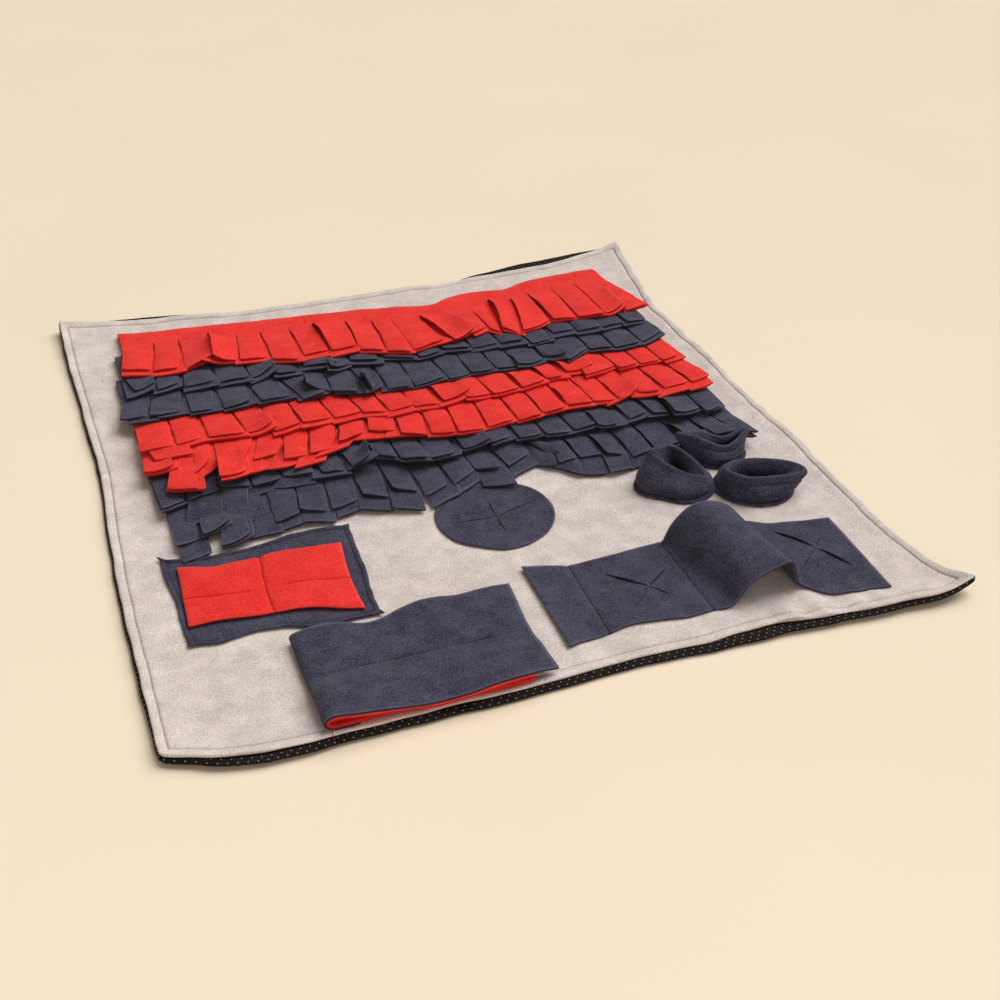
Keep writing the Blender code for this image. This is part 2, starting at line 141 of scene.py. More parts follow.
def mixed(tree, share, first, second):
    """A colour between two others."""
    inputs = {"Factor": share, 6: first, 7: second}
    return add_node(tree, "ShaderNodeMix", inputs, data_type="RGBA"), 2


def clouds(tree, place, scale, **more):
    return add_node(tree, "ShaderNodeTexNoise", {"Vector": place, "Scale": scale, **more}), "Fac"


def spots(tree, distance, full, none, most=1.0):
    """Round spots: most at a distance up to full, fading to 0 at none."""
    inputs = {"Value": distance, "From Min": none, "From Max": full, "To Max": most}
    mask = add_node(tree, "ShaderNodeMapRange", inputs, interpolation_type="SMOOTHSTEP")
    return mask, "Result"


def new_group(name, inputs):
    tree = bpy.data.node_groups.new(name, "ShaderNodeTree")
    for label, kind, value in inputs:
        socket = tree.interface.new_socket(label, in_out="INPUT", socket_type=kind)
        if value is not None:
            socket.default_value = value
    return tree, add_node(tree, "NodeGroupInput")


def give(tree, **results):
    """Makes a group's outputs, from colours and floats, and ends the group with them."""
    for label in results:
        kind = "NodeSocketColor" if label == "Colour" else "NodeSocketFloat"
        tree.interface.new_socket(label, in_out="OUTPUT", socket_type=kind)
    add_node(tree, "NodeGroupOutput", results)
    return tree


def nap_group():
    """Brushed pile: fine fibres, small tufts and broad patches, mixed by noise between a lit and a
    deep fibre tone.
    """
    tree, given = new_group(
        "Brushed nap",
        (
            ("Place", "NodeSocketVector", None),
            ("Lit fibre", "NodeSocketColor", (0.6, 0.6, 0.6, 1)),
            ("Deep fibre", "NodeSocketColor", (0.4, 0.4, 0.4, 1)),
            ("Tuft size", "NodeSocketFloat", 300.0),
            ("Patchiness", "NodeSocketFloat", 0.3),
        ),
    )
    place, size = (given, "Place"), (given, "Tuft size")
    fibre = clouds(tree, place, size, Detail=3.0, Roughness=0.65, Distortion=0.6)
    tuft = clouds(tree, place, maths(tree, "MULTIPLY", size, 0.38))
    patch = clouds(tree, place, maths(tree, "MULTIPLY", size, 0.03))
    grain = maths(tree, "MULTIPLY", fibre, tuft)
    inputs = {"Value": grain, "From Min": 0.14, "From Max": 0.36}
    spread = add_node(tree, "ShaderNodeMapRange", inputs), "Result"
    patch_offset = maths(tree, "MULTIPLY", maths(tree, "SUBTRACT", patch, 0.5), (given, "Patchiness"))
    share = maths(tree, "ADD", spread, patch_offset)
    share[0].use_clamp = True
    colour = mixed(tree, share, (given, "Deep fibre"), (given, "Lit fibre"))
    return give(tree, Colour=colour, Height=share)


def lint_group():
    """Stray pale fibres: rare specks a third of a millimetre across."""
    tree, given = new_group("Lint", (("Place", "NodeSocketVector", None),))
    inputs = {"Vector": (given, "Place"), "Scale": 130.0}
    cells = add_node(tree, "ShaderNodeTexVoronoi", inputs), "Distance"
    return give(tree, Speck=spots(tree, cells, 0.03, 0.075, 0.6))


def dots_group():
    """Small round grips in staggered rows, measured on the cloth's own lay."""
    tree, given = new_group(
        "Grip dots", (("Lay", "NodeSocketVector", None), ("Pitch", "NodeSocketFloat", 0.0073))
    )
    inputs = {0: (given, "Lay"), "Scale": maths(tree, "DIVIDE", 1.0, (given, "Pitch"))}
    scaled = add_node(tree, "ShaderNodeVectorMath", inputs, operation="SCALE")
    nearest = []
    for shift in (0.0, 0.5):
        node = scaled
        for operation, by in (
            ("ADD", {1: (shift, shift, 0.0)}),
            ("FRACTION", {}),
            ("SUBTRACT", {1: (0.5, 0.5, 0.0)}),
            ("MULTIPLY", {1: (1.0, 1.0, 0.0)}),
            ("LENGTH", {}),
        ):
            inputs = {0: (node, "Vector"), **by}
            node = add_node(tree, "ShaderNodeVectorMath", inputs, operation=operation)
        nearest.append((node, "Value"))
    return give(tree, Dot=spots(tree, maths(tree, "MINIMUM", *nearest), 0.035, 0.072))


NAP = nap_group()
LINT = lint_group()
DOTS = dots_group()


def new_finish(name, roughness, sheen):
    material = bpy.data.materials.new(name)
    material.use_nodes = True
    tree = material.node_tree
    shader = tree.nodes["Principled BSDF"]
    shader.inputs["Roughness"].default_value = roughness
    shader.inputs["Specular IOR Level"].default_value = 0.15
    shader.inputs["Sheen Weight"].default_value = sheen
    shader.inputs["Sheen Roughness"].default_value = 0.45
    place = add_node(tree, "ShaderNodeTexCoord"), "Object"
    return material, tree, shader, place


def nap_of(tree, place, lit, deep, tuft_size, patchiness):
    inputs = {
        "Place": place,
        "Lit fibre": (*lit, 1),
        "Deep fibre": (*deep, 1),
        "Tuft size": tuft_size,
        "Patchiness": patchiness,
    }
    return add_node(tree, "ShaderNodeGroup", inputs, node_tree=NAP)


def colour_with(tree, shader, colour):
    tree.links.new(colour[0].outputs[colour[1]], shader.inputs["Base Color"])


def raise_with(tree, shader, height, strength, depth):
    inputs = {"Height": height, "Strength": strength, "Distance": depth}
    bump = add_node(tree, "ShaderNodeBump", inputs)
    tree.links.new(bump.outputs["Normal"], shader.inputs["Normal"])


def fleece(name, lit, deep, cut, sheen, tuft_size, patchiness, depth):
    """Brushed fleece; cut is the paler colour along cut edges: partly fuzz, partly painted
    highlight.
    """
    material, tree, shader, place = new_finish(name, 0.95, sheen)
    nap = nap_of(tree, place, lit, deep, tuft_size, patchiness)
    edge = add_node(tree, "ShaderNodeAttribute", attribute_name="cut_edge"), "Fac"
    shade = add_node(tree, "ShaderNodeAttribute", attribute_name="shade"), "Fac"
    lint = add_node(tree, "ShaderNodeGroup", {"Place": place}, node_tree=LINT), "Speck"
    dark = (*(0.12 * part for part in deep), 1)
    pale = (*(mix(part, 0.55, 0.45) for part in lit), 1)
    # Paler cut colour at the cut edges: fuzz and a painted highlight.
    colour = mixed(tree, maths(tree, "MULTIPLY", edge, 0.45), (nap, "Colour"), (*cut, 1))
    colour = mixed(tree, lint, mixed(tree, shade, colour, dark), pale)
    colour_with(tree, shader, colour)
    raise_with(tree, shader, (nap, "Height"), 0.55, depth)
    return material


def grip_backing():
    material, tree, shader, place = new_finish("grip backing", 0.9, 0.02)
    nap = nap_of(tree, place, (0.017, 0.012, 0.0095), (0.005, 0.004, 0.0035), 500.0, 0.2)
    lay = add_node(tree, "ShaderNodeUVMap", uv_map="lay"), "UV"
    dots = add_node(tree, "ShaderNodeGroup", {"Lay": lay, "Pitch": 0.0076}, node_tree=DOTS), "Dot"
    colour_with(tree, shader, mixed(tree, dots, (nap, "Colour"), (0.56, 0.51, 0.45, 1)))
    raise_with(tree, shader, dots, 0.6, 0.0005)
    return material


def thread(name, colour):
    """Twisted sewing thread, with noise that paints shade between its turns."""
    material, tree, shader, place = new_finish(name, 0.6, 0.2)
    dark = (*(0.55 * part for part in colour), 1)
    colour_with(tree, shader, mixed(tree, clouds(tree, place, 2500.0), dark, (*colour, 1)))
    return material


def floor_finish():
    material, tree, shader, place = new_finish("cream floor", 0.9, 0.0)
    dim, bright = (0.86, 0.735, 0.565, 1), (0.90, 0.775, 0.60, 1)
    colour_with(tree, shader, mixed(tree, clouds(tree, place, 3.0), dim, bright))
    return material


# Lit, deep and cut fibre (fuzz with painted highlight), then sheen, tuft size, patchiness and the
# nap's depth.
GREY = fleece(
    "grey fleece",
    (0.865, 0.77, 0.71), (0.55, 0.49, 0.455), (0.8, 0.72, 0.66), 0.1, 1700.0, 1.3, 0.0006,
)
RED = fleece(
    "red fleece",
    (0.96, 0.056, 0.040), (0.70, 0.012, 0.013), (0.98, 0.13, 0.08), 0.06, 1700.0, 0.9, 0.0005,
)
NAVY = fleece(
    "navy fleece",
    (0.088, 0.086, 0.135), (0.013, 0.0125, 0.024), (0.19, 0.19, 0.26), 0.12, 1800.0, 0.9, 0.0004,
)
# Darker copies of navy and red fleece for the cut sides of solidified cloth: painted shade on the
# thickness.
NAVY_SHADED_SIDE = fleece(
    "navy cut edge",
    (0.028, 0.025, 0.042), (0.009, 0.008, 0.015), (0.05, 0.045, 0.07), 0.1, 1300.0, 0.3, 0.0003,
)
RED_SHADED_SIDE = fleece(
    "red cut edge",
    (0.62, 0.014, 0.018), (0.42, 0.006, 0.01), (0.68, 0.02, 0.024), 0.05, 1300.0, 0.3, 0.0003,
)
SHADED_SIDES = {NAVY: NAVY_SHADED_SIDE, RED: RED_SHADED_SIDE}
BACKING = grip_backing()
GREY_THREAD = thread("grey thread", (0.50, 0.46, 0.41))
RED_THREAD = thread("red thread", (0.55, 0.02, 0.03))
DULL_THREAD = thread("dull red thread", (0.16, 0.03, 0.045))
NAVY_THREAD = thread("navy thread", (0.035, 0.035, 0.06))
PALE_THREAD = thread("pale thread", (0.42, 0.42, 0.46))


# ---- making pieces ----


def grid(u_lines, v_lines):
    """A flat grid with its points where the lines cross."""
    mesh = bmesh.new()
    across, up = len(u_lines) - 1, len(v_lines) - 1
    bmesh.ops.create_grid(mesh, x_segments=across, y_segments=up, size=0.5)
    for vert in mesh.verts:
        column = round((vert.co.x + 0.5) * across)
        row = round((vert.co.y + 0.5) * up)
        vert.co = Vector((u_lines[column], v_lines[row], 0.0))
    return mesh


def with_rim(rim, cells):
    """Lines from 0 to 1, close together at both ends, as the rim gives them for one."""
    return rim[:-1] + evenly(rim[-1], 1 - rim[-1], cells) + [1 - line for line in rim[-2::-1]]


def around(u, v, cells_u, cells_v):
    """Points along the four sides of a rectangle set in by u and v."""
    return (
        [(at, v) for at in evenly(u, 1 - u, cells_u)],
        [(1 - u, at) for at in evenly(v, 1 - v, cells_v)],
        [(at, 1 - v) for at in evenly(1 - u, u, cells_u)],
        [(u, at) for at in evenly(1 - v, v, cells_v)],
    )


def double(mesh):
    """Gives a flat grid its second side, one unit higher, and the wall between."""
    drawn = bmesh.ops.extrude_face_region(mesh, geom=mesh.faces[:])["geom"]
    upper = [item for item in drawn if isinstance(item, bmesh.types.BMVert)]
    bmesh.ops.translate(mesh, vec=(0.0, 0.0, 1.0), verts=upper)
    return mesh


def settle(mesh, spots, lay):
    """Moves each point to its spot and keeps its lay on the cloth, in metres, as the UV map."""
    layer = mesh.loops.layers.uv.new("lay")
    for face in mesh.faces:
        for loop in face.loops:
            loop[layer].uv = lay(loop.vert)
    for vert, spot in spots.items():
        vert.co = Vector(spot)


def lay_out(mesh, place, lay=lambda u, v, side: (u, v)):
    """Settles a grid by two functions of its points' own places in it."""
    spots = {vert: place(*vert.co) for vert in mesh.verts}
    settle(mesh, spots, lambda vert: [part * MM for part in lay(*vert.co)])


def mark_cut_edges(mesh):
    """Marks the cut edge of an open cloth, but not its slits, for its paler colour: fuzz and
    painted highlight.
    """
    layer = mesh.verts.layers.float.new("cut_edge")
    dark = mesh.verts.layers.float.get("shade")
    for vert in mesh.verts:
        cut = vert.is_boundary and not (dark and vert[dark])
        vert[layer] = 1.0 if cut else 0.0


def add_object(name, data):
    item = bpy.data.objects.new(name, data)
    bpy.context.scene.collection.objects.link(item)
    return item


def finished(name, mesh, finish, slot=None, nodes=(), thick=0.0, up=True, even=True):
    """Turns a bmesh in millimetres into a piece in metres that stands for its CAD nodes."""
    bmesh.ops.scale(mesh, vec=(MM, MM, MM), verts=mesh.verts)
    data = bpy.data.meshes.new(name)
    if not thick:
        bmesh.ops.recalc_face_normals(mesh, faces=mesh.faces)
    mesh.to_mesh(data)
    mesh.free()
    data.materials.append(finish)
    data.shade_smooth()
    piece = add_object(f"{name}_cloth" if nodes else name, data)
    if thick:
        wall = piece.modifiers.new("cloth", "SOLIDIFY")
        wall.thickness = thick * MM
        wall.offset = -1.0 if up else 1.0
        wall.use_even_offset = even
        wall.thickness_clamp = 0.9
        # The cut sides of navy and red cloth take their darker copy: painted shade.
        if finish in SHADED_SIDES:
            data.materials.append(SHADED_SIDES[finish])
            wall.material_offset_rim = 1
    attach(piece, "root")
    if nodes:
        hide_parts(*nodes)
    return piece


LOW = 16.0  # slits stay below this height, off the arch
Slit = namedtuple("Slit", "start end gape lips dark")


def slit(mesh, start, end, gape, lips, dark):
    """Cuts an open cloth from start to end in plan, and lets the cut open a little."""
    start, end = Vector((*start, 0.0)), Vector((*end, 0.0))
    along = end - start
    length = along.length
    along.normalize()
    across = Vector((-along.y, along.x, 0.0))
    middle = (start + end) / 2

    def near(item):
        offset = item.calc_center_median() - middle
        return offset.xy.length < length / 2 + 6 and offset.z < LOW

    for beside in (-0.9, 0.9, 0.0):  # both lips first, then the cut itself
        faces = [face for face in mesh.faces if near(face)]
        edges = list({edge for face in faces for edge in face.edges})
        verts = list({vert for face in faces for vert in face.verts})
        place = middle + across * beside
        bmesh.ops.bisect_plane(
            mesh, geom=faces + edges + verts, dist=0.12, plane_co=place, plane_no=across
        )

    def on_line(vert):
        offset = vert.co - start
        return abs(offset.dot(across)) < 0.13 and -0.5 < offset.dot(along) < length + 0.5

    line = [edge for edge in mesh.edges if all(on_line(vert) for vert in edge.verts)]
    line = [edge for edge in line if edge.verts[0].co.z < LOW]
    bmesh.ops.split_edges(mesh, edges=line)
    shade = mesh.verts.layers.float.get("shade") or mesh.verts.layers.float.new("shade")
    for vert in mesh.verts:
        if not (vert.is_boundary and on_line(vert)):
            continue
        share = clamp((vert.co - start).dot(along) / length)
        open_here = 4 * share * (1 - share)
        side = sum((face.calc_center_median() - vert.co).dot(across) for face in vert.link_faces)
        vert.co += across * math.copysign(gape * open_here / 2, side)
        vert.co.z += lips * open_here * (1.0 if side > 0 else 0.2)
        vert[shade] = dark * (1.0 if side < 0 else 0.6)


def stitches(name, lines, pitch, finish, slot, length=2.3, width=0.55, sink=0.0):
    """Small stitches along lines of points that lie on the cloth."""
    mesh = bmesh.new()
    for points in lines:
        places = [Vector(point) for point in points]
        run = 0.0
        for here, ahead in zip(places, places[1:]):
            step = ahead - here
            size = step.length
            while run < size:
                centre = here + step * (run / size) - Vector((0.0, 0.0, sink))
                new = bmesh.ops.create_icosphere(mesh, subdivisions=1, radius=0.5)["verts"]
                bmesh.ops.scale(mesh, vec=(length, width, width * 0.8), verts=new)
                turn = step.to_track_quat("X", "Z").to_matrix()
                bmesh.ops.rotate(mesh, matrix=turn, verts=new)
                bmesh.ops.translate(mesh, vec=centre, verts=new)
                run += pitch
            run -= size
    return finished(name, mesh, finish, slot)


def strand(name, points, width, finish, slot):
    """A loose thread end: a thin tube along a few points."""
    mesh = bmesh.new()
    ring = bmesh.ops.create_circle(mesh, cap_ends=True, segments=6, radius=width / 2)["verts"]
    places = [Vector(point) for point in points]
    face = mesh.faces[:][0]
    first = (places[1] - places[0]).normalized()
    bmesh.ops.rotate(mesh, matrix=first.to_track_quat("Z", "X").to_matrix(), verts=ring)
    bmesh.ops.translate(mesh, vec=places[0], verts=ring)
    geom = [face]
    for here, ahead in zip(places, places[1:]):
        drawn = bmesh.ops.extrude_face_region(mesh, geom=geom)["geom"]
        tip = [item for item in drawn if isinstance(item, bmesh.types.BMVert)]
        bmesh.ops.translate(mesh, vec=ahead - here, verts=tip)
        geom = drawn
    return finished(name, mesh, finish, slot)


# ---- the mat ----

Edge = namedtuple("Edge", "along line lift reveal")
BACK_EDGE = rows(
    Edge,
    (-361, 403, 8.0, 0.0), (-331, 399.5, 4.0, 1.0), (-300, 398, 2.0, 3.4), (-259, 393.5, 1.0, 4.6),
    (-219, 389, 0.6, 3.8), (-170, 375, 0.3, 0.5), (-115, 370, 0.0, -1.0), (-41, 369, 0.2, -1.0),
    (20, 372, 0.5, 2.6), (44, 372.5, 0.4, 2.8), (72, 370, 0.2, -0.6), (91, 366.5, 0.2, 0.2),
    (124, 368.5, 0.4, 2.2), (154, 375.5, 0.5, 5.5), (189, 380.5, 0.6, 8.0),
    (217, 384.5, 0.7, 10.5), (252, 387.5, 0.7, 11.0), (303, 395.4, 0.7, 6.8),
    (348, 399.5, 1.4, 2.0), (361, 399.5, 2.6, 0.0),
)
FRONT_EDGE = rows(
    Edge,
    (-361, -388.5, 3.4, 1.6), (-351, -393.5, 3.4, 2.4), (-336, -400.5, 3.6, 3.4),
    (-321, -408.5, 4.0, 5.2), (-290, -415.5, 3.6, 7.0), (-259, -416.5, 3.1, 7.0),
    (-226, -414.4, 2.4, 6.0), (-193, -412.5, 2.0, 5.4), (-159, -411.8, 1.6, 6.2),
    (-124, -410.4, 1.3, 6.8), (-90, -410.2, 1.2, 6.6), (-54, -408.8, 1.1, 6.2),
    (20, -404.6, 1.0, 6.0), (57, -404.2, 1.0, 6.6), (94, -406.0, 1.0, 7.2),
    (134, -406.6, 1.5, 10.4), (155, -407.2, 2.0, 11.4), (173, -406.2, 2.6, 10.0),
    (190, -407.6, 3.0, 7.8), (209, -408.6, 3.2, 6.6), (228, -409.0, 3.6, 5.6),
    (246, -411.0, 4.0, 5.0), (266, -411.6, 4.4, 4.4), (305, -412.4, 5.4, 3.6),
    (324, -413.6, 6.8, 3.0), (340, -412.0, 9.0, 2.0), (361, -405.0, 13.0, 0.8),
)
LEFT_EDGE = rows(
    Edge,
    (-403, -366.5, 3.4, 1.2), (-374, -367.5, 3.0, 1.6), (-340, -368, 2.4, 2.2),
    (-295, -368, 1.8, 2.4), (-210, -368, 0.8, 2.2), (-116, -366, 0.6, 2.2), (-11, -361, 0.6, 2.2),
    (46, -358, 0.6, 2.4), (174, -360, 0.8, 2.0), (320, -362, 2.0, 2.0), (375, -361, 5.0, 1.4),
    (403, -360, 9.0, 1.0),
)
RIGHT_EDGE = rows(
    Edge,
    (-403, 366, 12.0, 0.4), (-390, 361, 9.0, 0.0), (-372, 353, 5.0, -0.5), (-340, 347, 2.0, -1.0),
    (-292, 342, 0.8, -1.0), (-203, 340, 0.4, -1.0), (-106, 342, 0.4, -1.0), (-2, 336, 0.4, -1.0),
    (100, 335, 0.4, -1.0), (172, 333, 0.8, -0.4), (215, 332, 1.6, 1.2), (240, 334, 1.8, 1.4),
    (269, 340, 1.4, 0.2), (309, 345, 1.0, -0.6), (352, 350, 1.6, -0.8), (379, 354, 3.4, -0.6),
    (403, 357, 6.5, -0.4),
)
Rim = namedtuple("Rim", "share backing_low backing_top fleece_low fleece_top")
RIM = rows(
    Rim,
    (0.0, 2.9, 5.0, 5.4, 6.1), (0.05, 1.9, 4.7, 4.9, 6.7), (0.12, 1.2, 3.8, 4.2, 7.1),
    (0.25, 0.6, 2.9, 3.3, 7.4), (0.42, 0.2, 2.2, 2.7, 7.3), (0.62, 0.0, 1.8, 2.3, 7.0),
    (0.80, 0.0, 1.7, 2.1, 6.7), (0.90, 0.0, 1.6, 1.95, 6.2), (1.0, 0.0, 1.6, 1.9, 4.7),
    (1.1, 0.0, 1.6, 1.9, 5.9), (1.25, 0.0, 1.6, 1.9, 6.3), (1.7, 0.0, 1.6, 1.9, 6.2),
    (2.6, 0.0, 1.6, 1.9, 5.3), (4.0, 0.0, 1.6, 1.9, 4.9),
)
Side = namedtuple("Side", "table way band")
SIDE_BAND, END_BAND = 8.4, 11.0  # from the edge to the groove of the topstitching
SIDES = rows(
    Side,
    (LEFT_EDGE, 1, SIDE_BAND), (RIGHT_EDGE, -1, SIDE_BAND),
    (FRONT_EDGE, 1, END_BAND), (BACK_EDGE, -1, END_BAND),
)
BORDER_TOP = 2.7  # of the backing at its own edge
CORNER = 4.0  # radius of the mat's corners
LIFT_REACH = 58.0  # how far in from the edge its lift goes
Swell = namedtuple("Swell", "x y wide deep height")
SWELLS = rows(
    Swell,
    (186, -392, 17, 46, 3.2), (200, -380, 10, 34, -1.4), (216, -388, 13, 40, 3.4),
    (236, -392, 11, 30, -1.2), (254, -394, 13, 30, 2.2), (274, -396, 10, 26, 1.6),
    (318, -330, 26, 70, 2.4), (-300, -330, 42, 46, 1.6), (-270, -372, 36, 20, 1.0),
    (-335, -40, 22, 120, 1.6), (-334, 180, 20, 100, 1.2), (320, 20, 18, 90, 1.6),
    (320, 190, 16, 60, 1.2), (-85, -215, 46, 38, 1.3), (85, -190, 60, 36, 1.2),
    (120, 352, 70, 12, 1.0),
)


def ground(x, y):
    """Top of the mat's fleece away from its edge, with its soft unevenness."""
    swell = sum(s.height * bell(x - s.x, s.wide) * bell(y - s.y, s.deep) for s in SWELLS)
    return MAT_TOP + swell + 1.7 * wander(x, y, 75.0, 3.1) + 0.5 * wander(x, y, 27.0, 8.3)


def front_rim(x, y):
    """Top of the mat's fleece where something lies over its front rim."""
    inset = max(0.0, y - edge(FRONT_EDGE, "line", x) - edge(FRONT_EDGE, "reveal", x))
    lift = edge(FRONT_EDGE, "lift", x) * clamp(1 - inset / LIFT_REACH) ** 3
    padding = edge(RIM, "fleece_top", min(inset / END_BAND, RIM[-1].share))
    return ground(x, y) - MAT_TOP + lift + padding


edge_cache = {}


def edge(table, field, at):
    """A table's curve, kept once it has been read at a place."""
    key = (id(table), field, round(at, 3))
    if key not in edge_cache:
        edge_cache[key] = curve(table, field, at)
    return edge_cache[key]


def rounded_corner(u, v):
    """Turns the square corners of the grid into small round ones."""
    across, up = u * MAT_WIDTH, v * MAT_DEPTH
    du, dv = min(across, MAT_WIDTH - across), min(up, MAT_DEPTH - up)
    a, b = CORNER - du, CORNER - dv
    if a <= 0 or b <= 0:
        return u, v
    squeeze = max(a, b) / math.hypot(a, b)
    du, dv = CORNER - a * squeeze, CORNER - b * squeeze
    across = du if u < 0.5 else MAT_WIDTH - du
    up = dv if v < 0.5 else MAT_DEPTH - dv
    return across / MAT_WIDTH, up / MAT_DEPTH


def mat_place(u, v, column, fleece_sheet):
    """A point of one of the mat's two sheets."""
    along_x = mix(-MAT_WIDTH / 2, MAT_WIDTH / 2, u)
    along_y = mix(-MAT_DEPTH / 2, MAT_DEPTH / 2, v)
    insets = (u * MAT_WIDTH, (1 - u) * MAT_WIDTH, v * MAT_DEPTH, (1 - v) * MAT_DEPTH)
    along = (along_y, along_y, along_x, along_x)
    lines, reveals, depths = [], [], []
    for side, inset, at in zip(SIDES, insets, along):
        line, reveal = edge(side.table, "line", at), edge(side.table, "reveal", at)
        if fleece_sheet:
            line, reveal = line + reveal * side.way, 0.0
        lines.append(line)
        reveals.append(reveal)
        depths.append((inset - reveal) / side.band)
    nearest = depths.index(min(depths))
    depth = depths[nearest]
    round_u, round_v = rounded_corner(u, v)
    x, y = mix(lines[0], lines[1], round_u), mix(lines[2], lines[3], round_v)
    pucker = clamp(1 - depth / 3) * wander(x * 0.9 + y * 0.2, y * 0.9 - x * 0.2, 24.0, 7.7)
    sideways = (3.0 if u > 0.5 else -1.2) * clamp(2 - min(insets[:2]) / 20)
    endways = (1.2 if v > 0.5 else -1.2) * clamp(2 - min(insets[2:]) / 20)
    x += sideways * pucker
    y += endways * pucker
    lift = max(
        edge(side.table, "lift", at) * clamp(1 - inset / LIFT_REACH) ** 3
        for side, at, inset in zip(SIDES, along, insets)
    )
    height = edge(RIM, column, min(max(depth, 0.0), RIM[-1].share))
    if depth < 0:  # the backing's border that shows past the fleece
        share = min(1.0, -depth * SIDES[nearest].band / reveals[nearest])
        raised = 0.3 * reveals[nearest] + 1.4 if SIDES[nearest].table is BACK_EDGE else 0.0
        height += (BORDER_TOP + raised - RIM[0].backing_top) * share**1.4
    if column == "fleece_top":
        height += ground(x, y) - MAT_TOP + 0.4 * pucker + 0.2 * wander(x, y, 9.0, 1.3)
    return x, y, height + lift


RIM_LINES = (0, 0.05, 0.11, 0.2, 0.32, 0.45, 0.6, 0.75, 0.86, 0.93, 0.97)
RIM_LINES += (1.0, 1.03, 1.07, 1.15, 1.3, 1.55, 1.9, 2.4, 3.1, 4.0)
MAT_CELL = 6.0


def mat_lines(size, band):
    rim = [share * band / size for share in RIM_LINES]
    return with_rim(rim, round(size * (1 - 2 * rim[-1]) / MAT_CELL))


def mat_sheet(name, column, fleece_sheet, finish, slot):
    mesh = double(grid(mat_lines(MAT_WIDTH, SIDE_BAND), mat_lines(MAT_DEPTH, END_BAND)))
    shade = mesh.verts.layers.float.new("shade")
    for vert in mesh.verts:
        if fleece_sheet and vert.co.z > 0.5:
            du = min(vert.co.x, 1 - vert.co.x) * MAT_WIDTH / SIDE_BAND
            dv = min(vert.co.y, 1 - vert.co.y) * MAT_DEPTH / END_BAND
            vert[shade] = 0.34 * bell(min(du, dv) - 1.0, 0.065)

    def lay(u, v, side):
        """The upper side is laid on past the edge, so that the dots run on round it."""
        x, y = u * MAT_WIDTH, v * MAT_DEPTH
        if side > 0.5:
            du, dv = min(x, MAT_WIDTH - x), min(y, MAT_DEPTH - y)
            if du <= dv:
                x += (3.0 + 2 * du) * (-1 if u < 0.5 else 1)
            else:
                y += (3.0 + 2 * dv) * (-1 if v < 0.5 else 1)
        return x, y

    def place(u, v, side):
        return mat_place(u, v, f"{column}_top" if side > 0.5 else f"{column}_low", fleece_sheet)

    lay_out(mesh, place, lay)
    piece = finished(name, mesh, finish, slot, [name])
    return piece


def mat_stitches():
    """The topstitching round the mat, in its groove, and a few loose ends of thread."""

    def at(u, v):
        x, y, z = mat_place(u, v, "fleece_top", True)
        return x, y, z + 0.05

    sides = around(SIDE_BAND / MAT_WIDTH, END_BAND / MAT_DEPTH, 240, 260)
    lines = [[at(u, v) for u, v in side] for side in sides]
    stitches("edge_stitches", lines, 3.2, GREY_THREAD, "grey_fleece", 2.2, 0.45)
    flecks = ((-229.4, -226), (-330, 250), (318, -64), (170, 340))
    for number, (x, y) in enumerate(flecks, start=1):
        z = ground(x, y) + 0.4
        points = [(x, y, z), (x + 1.6, y + 0.8, z + 0.6), (x + 2.6, y + 2.2, z + 0.2)]
        finish = RED_THREAD if number == 3 else PALE_THREAD
        strand(f"loose_thread_{number}", points, 0.5, finish, "grey_fleece")


# ---- the fringe ----

LAYER_T = 2.2
LAYER_STEP = 2.7  # from the underside of one layer to that of the next
HEADER_DEPTH = 31.0  # from the seam to the start of the cuts
Seam = namedtuple("Seam", "x first last")
SEAMS = rows(
    Seam,
    (-300, 354, 4), (-200, 342, 12), (-100, 330, 21), (0, 320, 28), (58, 308, 30), (76, 306, 30),
    (95, 316, 30), (115, 321, 30), (143, 321, 30), (171, 316.5, 30), (192, 325, 30),
    (212, 331, 30), (300, 338, 30),
)
Climb = namedtuple("Climb", "along rise")
STEADY_CLIMB = rows(Climb, (0, 0.0), (400, 41.0))
CLIMBS = 5 * (STEADY_CLIMB,) + (
    rows(Climb, (0, 0.0), (28, 2.7), (80, 6.0), (125, 9.0), (200, 13.0)),
    rows(Climb, (0, 0.0), (28, 0.3), (70, 1.4), (130, 3.6), (200, 4.0)),
)
COVERED = 0.5  # share of each tab that the row behind hides; none lies behind row 1
ROW_END = 297.0
UNDER_SHIFT = 5.0  # of the under layer's cuts to the right
OVERLAP_RISE = LAYER_T + LAYER_STEP + 0.4  # of a tab's side that lies over its neighbour
OVERLAP_SHARE = 0.35
WIDEST = 14.0  # that a tab of the under layer grows on a side to fill a gap
